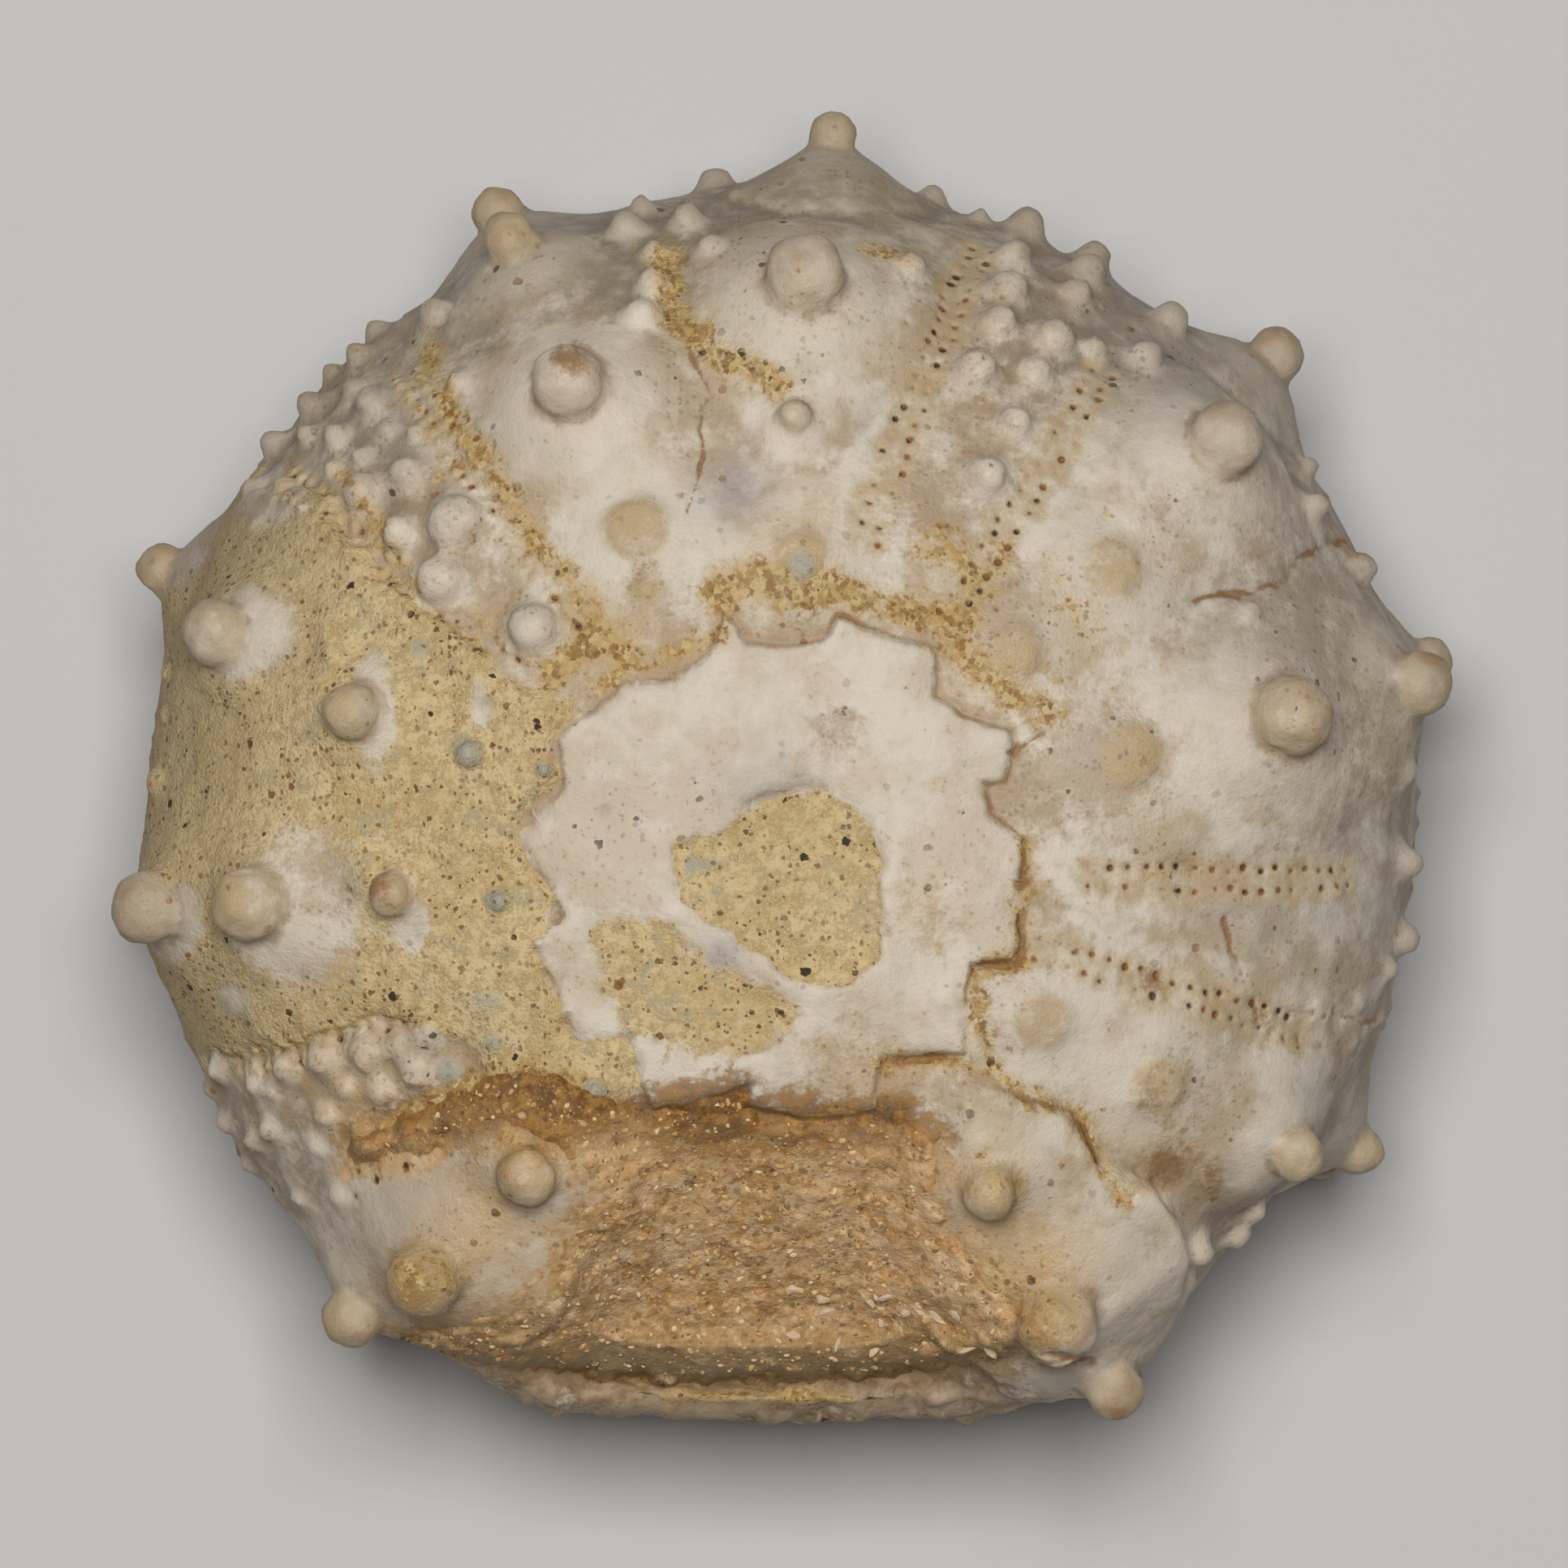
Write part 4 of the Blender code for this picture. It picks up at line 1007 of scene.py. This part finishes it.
# Painted shade colour for the valleys on the disc.
DISC_SHADE_ROSE = paint(196, 177, 155)
DISC_CREAM = paint(203, 187, 165)
WARM_CREAM = paint(196, 160, 108)
DOT_GREY = paint(166, 162, 146)
OCHRE = paint(192, 160, 100)
DEEP_OCHRE = paint(142, 105, 56)
RUST = paint(138, 100, 58)
PORE_BROWN = paint(142, 96, 50)
SPECK = paint(62, 52, 40)
SAND = paint(176, 150, 110)
TAN_LIGHT = paint(210, 187, 140)
TAN = paint(199, 172, 122)
TAN_DEEP = paint(176, 145, 92)
TAN_GREY = paint(174, 161, 124)
# Painted shade colour for the matrix towards the outline.
TAN_EDGE_SHADE = paint(158, 137, 99)
DARK_SPECK = paint(66, 56, 38)
SED_ORANGE = paint(180, 133, 76)
SED_RUST = paint(108, 72, 34)
SED_BROWN = paint(196, 156, 106)
SED_PALE = paint(224, 198, 152)
SED_ROSE = paint(204, 164, 126)
SED_OLIVE = paint(148, 120, 78)
SED_GOLD = paint(158, 114, 54)
RIM_BROWN = paint(122, 97, 66)
CRUMB_PALE = paint(214, 200, 168)
GRIT_HEIGHT = 0.09 * MM
SED_DARK = paint(118, 88, 54)


def shaken(place, scale, reach):
    """Coordinates with a noisy shift, so that what is drawn by them has ragged edges."""
    shift = place.clouds(scale, 2.0, 0.5, 1).vector("SUBTRACT", (0.5, 0.5, 0.5))
    return shift.vector("MULTIPLY", (reach, reach, reach)).vector("ADD", place)


def sand_paint(place, cells, cloud, middle, fine, dust):
    """The brown sand's colour: grains of several colours in a stained cement."""
    tone = cells.part(1)
    ragged = cloud + (dust - 0.5) * 0.6 + (fine - 0.5) * 0.6
    colour = ragged.step(0.38, 0.62).between(SED_BROWN, SED_ORANGE)
    colour = ((middle + (fine - 0.5) * 0.5).step(0.46, 0.62) * 0.75).between(colour, SED_ROSE)
    colour = (tone.step(0.45, 0.95) * 0.45).between(colour, SED_PALE)
    colour = ((1.0 - tone.step(0.02, 0.16)) * 0.55).between(colour, SED_DARK)
    across = place.node("ShaderNodeSeparateXYZ", {}, {0: place}, 1)
    high = (across + ragged * 2.4 + middle * 1.2).step(-8.3, -6.4)
    rusty = (dust * 0.3 + fine * 0.4 + middle * 0.3).step(0.44, 0.56)
    low = 1.0 - (across + ragged * 2.4).step(-13.6, -11.2)
    colour = (low * 0.75).between(colour, SED_OLIVE)
    clumps = (middle * 0.5 + fine * 0.5).step(0.54, 0.66) * (1.0 - high * 0.7)
    colour = (clumps * 0.6).between(colour, SED_PALE)
    colour = (high * 0.95).between(colour, rusty.between(SED_RUST, SED_GOLD))
    dark = (1.0 - (middle * 0.5 + fine * 0.5).step(0.34, 0.45)) * 0.7
    return dark.between(colour, SED_DARK)


calcite, shader, place = new_stone("weathered_calcite_shell")
cloud = place.clouds(0.34, 3.0, 0.6)
middle = place.clouds(1.1, 3.0, 0.6)
fine = place.clouds(3.2, 3.0, 0.65)
dust = place.clouds(11.0, 2.0, 0.6)
grainy = shaken(place, 7.0, 0.16)
cells = grainy.grains(6.4)
sparse = grainy.grains(2.0)
ragged = (middle - 0.5) * 0.8 + (fine - 0.5) * 1.0 + (dust - 0.5) * 0.6
soft = cloud * 0.5 + middle * 0.4 + fine * 0.1
disc = place.kept("disc")
colour = soft.step(0.42, 0.57).between(MILK, (disc * 0.8).between(CREAM, DISC_CREAM))
axis = place.vector("MULTIPLY", (1.0, 1.0, 0.0))
reach = axis.vector("DISTANCE", (STANDS_AT[0], SHELL_CENTRE[1] + STANDS_AT[1], 0.0), "Value")
# Painted shade, partly real grime: the shell greyer and darker towards its outline, where the
# flanks turn away from the light.
flank = (reach + (cloud - 0.5) * 4.0).step(9.5, 15.5)
# Painted shade in the valleys between bosses, stronger on the flanks and rose on the disc.
valley_shade = (place.kept("valley_shade") * 3.0 + ragged * 0.7 + flank * 0.35).step(0.0, 0.9)
shade = flank.between(ROSY_TAN, FLANK_SHADE_GREY)
shade = (disc * 0.85).between(shade, DISC_SHADE_ROSE)
colour = (valley_shade * (0.9 - disc * 0.3)).between(colour, shade)
blush = (place.kept("blush") + ragged * 0.9).step(0.25, 0.95)
colour = (blush * 0.85).between(colour, ROSY_TAN)
knolls = place.kept("boss") * (1.0 - blush * 0.7) * (middle + ragged * 0.3).step(0.30, 0.52)
colour = (knolls * 0.8).between(colour, MILK)
# Painted shade in the creases, browner and greyer towards the outline.
hollow_shade_in = (place.kept("hollow_shade") * 8.0 + (fine - 0.5) * 1.0).step(0.1, 1.0)
colour = (hollow_shade_in * 0.75).between(colour, flank.between(ROSY_TAN, EDGE_SHADE_GREY))
warm = place.kept("warm") * (0.45 + middle)
colour = (warm * 0.75).between(colour, WARM_CREAM)
# Painted shade: grey darkening at the outer edge, where the shell turns from the light.
colour = ((reach + (middle - 0.5) * 3.0).step(13.0, 16.8) * 0.6).between(colour, EDGE_SHADE_GREY)
colour = (place.kept("grey") * (0.4 + fine * 0.8)).between(colour, COLD_GREY)
head_in = place.kept("head") * (middle + fine + (dust - 0.5) * 0.5 - 0.35).step(0.1, 0.75)
colour = (head_in * 0.75).between(colour, HEAD_TAN)
# Painted shadow: the rusty ring under each ball's neck.
neck_shade_in = place.kept("ring") * (middle * 2.0 - 0.4).step(0.1, 0.8)
colour = (neck_shade_in * 0.9).between(colour, RUST)
colour = (place.kept("ridge") * 0.8).between(colour, MILK)
stain_in = (place.kept("stain") + ragged * 0.8).step(0.15, 0.9)
colour = (stain_in * 0.9).between(colour, HEAD_TAN)
rust_in = (place.kept("rust") + ragged * 0.9).step(0.20, 0.85)
colour = (rust_in * 0.8).between(colour, RUST)
soil_in = (place.kept("soil") + ragged * 1.0).step(0.30, 0.75)
sandy = sand_paint(place, cells.also("Color"), cloud, middle, fine, dust)
colour = (soil_in * 0.85).between(colour, sandy)
rim_in = (place.kept("rim") * (0.4 + middle) + ragged * 0.9).step(0.30, 0.85)
colour = (rim_in * 0.8).between(colour, middle.step(0.4, 0.6).between(RIM_BROWN, ROSY_TAN))

tan_cloud = (cloud + (fine - 0.5) * 0.8).step(0.36, 0.62)
tan_paint = tan_cloud.between(TAN_LIGHT, TAN)
tan_paint = (fine + (dust - 0.5) * 0.8).step(0.46, 0.64).between(tan_paint, TAN_DEEP)
drift = (middle + (fine - 0.5) * 0.5).step(0.55, 0.72)
tan_paint = drift.between(tan_paint, TAN_GREY)
# Painted shade: the matrix darker towards the outline.
tan_edge_shade = (reach + (cloud - 0.5) * 3.0).step(11.0, 15.6) * 0.6
tan_paint = tan_edge_shade.between(tan_paint, TAN_EDGE_SHADE)
crumbs = (fine * 0.4 + dust * 0.6).step(0.54, 0.62)
tan_paint = (crumbs * 0.55).between(tan_paint, CRUMB_PALE)
tan_in = (place.kept("tan") + ragged * 0.65).step(0.26, 0.74)
colour = (tan_in * 0.96).between(colour, tan_paint)

crumbled = ragged * 1.1 + (middle - 0.5) * 0.9 + (cells.also("Color").part(0) - 0.5) * 0.35
ochre_in = (place.kept("ochre") + crumbled).step(0.40, 0.76)
mixed = cells.also("Color").part(1)
ochre_film = (place.kept("ochre") + ragged * 0.7).step(0.05, 0.75)
colour = (ochre_film * 0.5).between(colour, OCHRE)
crumbly = (mixed * 0.45 + dust * 0.3 + fine * 0.5).step(0.42, 0.78)
yellow = (mixed.step(0.70, 0.95) * 0.7).between(crumbly.between(DEEP_OCHRE, OCHRE), TAN_LIGHT)
colour = (ochre_in * 0.85).between(colour, yellow)
crack_in = (place.kept("groove") + (fine - 0.5) * 0.9).step(0.32, 0.85)
colour = (crack_in * 0.8).between(colour, RUST)
pore_paint = mixed.step(0.15, 0.75).between(SPECK, PORE_BROWN)
colour = place.kept("pit").step(0.25, 0.65).between(colour, pore_paint)
colour = (place.kept("dot") * (0.6 + fine * 0.5)).between(colour, DOT_GREY)
colour = place.kept("plug").step(0.4, 0.6).between(colour, mixed.between(SAND, CREAM))
crowd = (cloud + blush * 0.25 + ochre_in * 0.2).step(0.48, 0.64)
grimy = tan_in.most(ochre_in * 0.9)
specks = sparse.specks(-0.03, 0.27) * (0.3 + (crowd * 0.7).most(grimy))
speckled = grimy * (0.5 + 0.5 * (middle + (cloud - 0.5)).step(0.36, 0.54))
specks = specks.most(cells.specks(0.0, 0.50) * speckled.most(crowd * 0.4))
colour = (specks * 0.85).between(colour, middle.step(0.44, 0.56).between(DARK_SPECK, RUST))
gritty = tan_in.most(ochre_in).most(soil_in * 0.8)
height = fine * 0.6 + dust * 0.3
height = height + (place.kept("tan") + place.kept("ochre")) * (dust * 0.9 + fine * 0.5)
normal = height.bump(GRIT_HEIGHT, 0.75)
finish_stone(calcite, shader, colour, 0.50 + dust * 0.2 + gritty * 0.2 - warm * 0.2, normal)
for name, value in (("Specular IOR Level", 0.40), ("Subsurface Weight", 0.18),
                    ("Subsurface Radius", (1.0, 0.75, 0.5)), ("Subsurface Scale", 0.0006)):
    shader.inputs[name].default_value = value
shell.data.materials.clear()
shell.data.materials.append(calcite)
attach(shell, "root")
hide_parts("fossil_sea_urchin")


# ---------------------------------------------------------------------------------------------
# The sediment: brown sand, cemented, that shows where the roof of the shell is stove in.  Its
# loose-looking grains are quartz, shell bits and dark iron, each its own small lump.

SHEET_STEP = 0.065
SHEET_THICKNESS = 0.3
GRAIN_COUNT = 1300
BRIDGE_ROUNDS = 420
FLAKE_COUNT = 22
FLAKES_IN = (0.0, 5.0, -14.2, -11.6)
GRAINS_IN = (-9.8, 6.2, -14.9, -7.0)
FLAKE_PALE = paint(200, 176, 150)
FLAKE_TONE = 0.97
FLAKE_SIZES = (0.10, 0.20)
FLAKE_SHAPE = ((1.1, 2.0), (0.5, 0.8))
FLAKE_FLATNESS = 0.35
GRAIN_LEAST = 0.03
GRAIN_SPREAD = 0.08
GRAIN_SHAPE = ((0.7, 1.5), (0.6, 1.1), (0.5, 0.9))


def top_height(x, y):
    """The finished shell's height under each plan place."""
    hits = (below(outer_skin, *spot) for spot in zip(x, y))
    return np.array([hit.z if hit else 0.0 for hit in hits])


def bridged(heights, rounds):
    """A grid of heights with its hollows bridged over as by a soft skin drawn across them."""
    skin = heights
    for _ in range(rounds):
        wide = skin + np.roll(skin, 1, 0) + np.roll(skin, -1, 0)
        wide = wide + np.roll(wide, 1, 1) + np.roll(wide, -1, 1)
        skin = np.maximum(heights, wide / 9.0)
    return skin


low = np.min(SEDIMENT, axis=0) - 0.6
high = np.max(SEDIMENT, axis=0) + 0.6
columns, rows = (int(n) for n in np.ceil((high - low) / SHEET_STEP))
bpy.ops.object.select_all(action="DESELECT")
bpy.ops.mesh.primitive_grid_add(x_subdivisions=columns, y_subdivisions=rows, size=1.0)
sediment = bpy.context.object
sediment.name = sediment.data.name = "brown_sediment"
x, y = (low + (high - low) * (places_of(sediment)[:, :2] + 0.5)).T
spots = np.stack((x, y, top_height(x, y)), axis=1)
plain_depth = inside_depth(SEDIMENT, x, y)
depth = plain_depth + 0.28 * lumps(spots, 0.8, 2.0) + 0.16 * lumps(spots, 0.3, 4.0)
height = 0.09 + 0.16 * lumps(spots, 1.2, 6.0) + 0.13 * lumps(spots, 0.46, 7.0)
height += 0.06 * lumps(spots, 0.17, 8.0)
cover = smooth_step(depth, -0.45, 0.25)
level = bridged(spots[:, 2].reshape(rows + 1, columns + 1), BRIDGE_ROUNDS).ravel()
spots[:, 2] += np.clip(level - spots[:, 2], 0.0, 1.4) * smooth_step(depth, -0.2, 0.4)
spots[:, 2] += -0.22 + (0.22 + height) * cover
move_to(sediment, spots)
bed = skin_of(sediment, spots)
kept = (plain_depth > -0.5) & (spots[:, 2] > AMBITUS_HEIGHT - 1.0)
outside = np.array([not all(kept[i] for i in face.vertices) for face in sediment.data.polygons])
edit_picked(sediment, sediment.data.polygons, outside)
bpy.ops.mesh.delete(type="FACE")
bpy.ops.object.mode_set(mode="OBJECT")
slab = sediment.modifiers.new("slab", "SOLIDIFY")
slab.thickness = SHEET_THICKNESS
slab.offset = -1.0
apply_all(sediment)
sediment.data.shade_smooth()

brown_sand, shader, place = new_stone("brown_sand_rock")
cloud = place.clouds(0.5, 3.0, 0.6)
fine = place.clouds(3.0, 3.0, 0.65)
dust = place.clouds(9.0, 2.0, 0.7)
cells = shaken(place, 7.0, 0.18).grains(6.4)
middle = place.clouds(1.3, 3.0, 0.6)
colour = sand_paint(place, cells.also("Color"), cloud, middle, fine, dust)
colour = (cells.specks(-0.10, 0.34) * 0.7).between(colour, DARK_SPECK)
height = dust * 0.7 + fine * 0.6
finish_stone(brown_sand, shader, colour, 0.66 + dust * 0.2, height.bump(GRIT_HEIGHT, 0.75))

chance = random.Random(11)
bpy.ops.object.select_all(action="DESELECT")
bpy.ops.mesh.primitive_ico_sphere_add(subdivisions=1, radius=1.0)
grains = bpy.context.object
grains.name = grains.data.name = "sediment_grains"
ball = places_of(grains)
ball_faces = np.array([tuple(face.vertices) for face in grains.data.polygons])
grain_spots = []
grain_faces = []
grain_tones = []
while len(grain_spots) < GRAIN_COUNT:
    is_flake = len(grain_spots) < FLAKE_COUNT
    within = FLAKES_IN if is_flake else GRAINS_IN
    gx, gy = chance.uniform(*within[:2]), chance.uniform(*within[2:])
    if inside_depth(SEDIMENT, np.array([gx]), np.array([gy]))[0] < 0.15:
        continue
    hit = below(bed, gx, gy)
    size = GRAIN_LEAST + GRAIN_SPREAD * chance.random() ** 3
    shape = np.array([chance.uniform(*ends) for ends in GRAIN_SHAPE])
    if is_flake:
        size = chance.uniform(*FLAKE_SIZES)
        shape = np.array([chance.uniform(*ends) for ends in FLAKE_SHAPE] + [FLAKE_FLATNESS])
    turn = np.array(Matrix.Rotation(chance.uniform(0, math.tau), 3, "Z")
                    @ Matrix.Rotation(chance.uniform(-0.5, 0.5), 3, "X"))
    bumpy = ball * (1.0 + np.array([chance.uniform(-0.18, 0.18) for _ in ball]))[:, None]
    grain = (bumpy * shape * size) @ turn.T + (gx, gy, hit.z - size * 0.1)
    grain_faces.append(ball_faces + len(ball) * len(grain_spots))
    grain_spots.append(grain)
    grain_tones += [FLAKE_TONE if is_flake else chance.random()] * len(ball)
mesh = grains.data
mesh.clear_geometry()
mesh.from_pydata(np.concatenate(grain_spots).tolist(), [], np.concatenate(grain_faces).tolist())
mesh.update()
store(grains, "tone", grain_tones)
grain_mix, shader, place = new_stone("mixed_grains")
tone = place.kept("tone")
dust = place.clouds(14.0, 2.0, 0.6)
colour = SED_DARK
for low, high, next_tone in ((0.10, 0.16, SED_BROWN), (0.35, 0.40, SED_ORANGE),
                             (0.60, 0.65, SED_PALE), (0.80, 0.84, SED_ROSE),
                             (0.94, 0.96, FLAKE_PALE)):
    colour = tone.step(low, high).between(colour, next_tone)
colour = (dust * 0.5).between(colour, SED_BROWN)
finish_stone(grain_mix, shader, colour, 0.40 + dust * 0.3, dust.bump(0.00003, 0.6))
for piece, material in ((sediment, brown_sand), (grains, grain_mix)):
    stand(piece)
    piece.data.materials.clear()
    piece.data.materials.append(material)
    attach(piece, "root")


# ---------------------------------------------------------------------------------------------
# The pale floor, a broad soft light from above and the camera, looking straight down.

FLOOR_TONE = (0.58, 0.57, 0.55, 1.0)
FLOOR_SIZE = 3.0
AIR_TONE = (0.96, 0.98, 1.0, 1.0)
AIR_STRENGTH = 0.06
bpy.ops.object.select_all(action="DESELECT")
bpy.ops.mesh.primitive_grid_add(x_subdivisions=4, y_subdivisions=4, size=FLOOR_SIZE)
floor = bpy.context.object
floor.name = "floor"
paper = bpy.data.materials.new("pale_paper")
paper.use_nodes = True
shader = paper.node_tree.nodes["Principled BSDF"]
shader.inputs["Base Color"].default_value = FLOOR_TONE
shader.inputs["Roughness"].default_value = 0.85
floor.data.materials.append(paper)

scene = bpy.context.scene
world = bpy.data.worlds.new("studio")
world.use_nodes = True
air = world.node_tree.nodes["Background"]
air.inputs["Color"].default_value = AIR_TONE
air.inputs["Strength"].default_value = AIR_STRENGTH
scene.world = world

LAMP_PLACE = (-0.008, 0.055, 0.42)
LAMP_AIM = (0.0, 0.0, 0.008)
LAMP_SIZE = 0.14
LAMP_WATTS = 1.55
lamp = bpy.data.lights.new("soft_box", "AREA")
lamp.shape = "SQUARE"
lamp.size = LAMP_SIZE
lamp.energy = LAMP_WATTS
hung = bpy.data.objects.new("soft_box", lamp)
hung.location = LAMP_PLACE
hung.rotation_euler = (Vector(LAMP_AIM) - Vector(LAMP_PLACE)).to_track_quat("-Z", "Y").to_euler()
scene.collection.objects.link(hung)

FIELD = 0.03864
VIEW_HEIGHT = 0.5
SENSOR = 36.0
EYE_PLAN = (-0.0000181, -0.0004401)
EYE_OVER = 0.0084
camera = bpy.data.cameras.new("camera")
camera.sensor_width = SENSOR
camera.lens = SENSOR * VIEW_HEIGHT / FIELD
camera.clip_start = 0.05
camera.clip_end = 5.0
eye = bpy.data.objects.new("camera", camera)
eye.location = (*EYE_PLAN, VIEW_HEIGHT + EYE_OVER)
scene.collection.objects.link(eye)
scene.camera = eye
scene.view_settings.view_transform = "Standard"
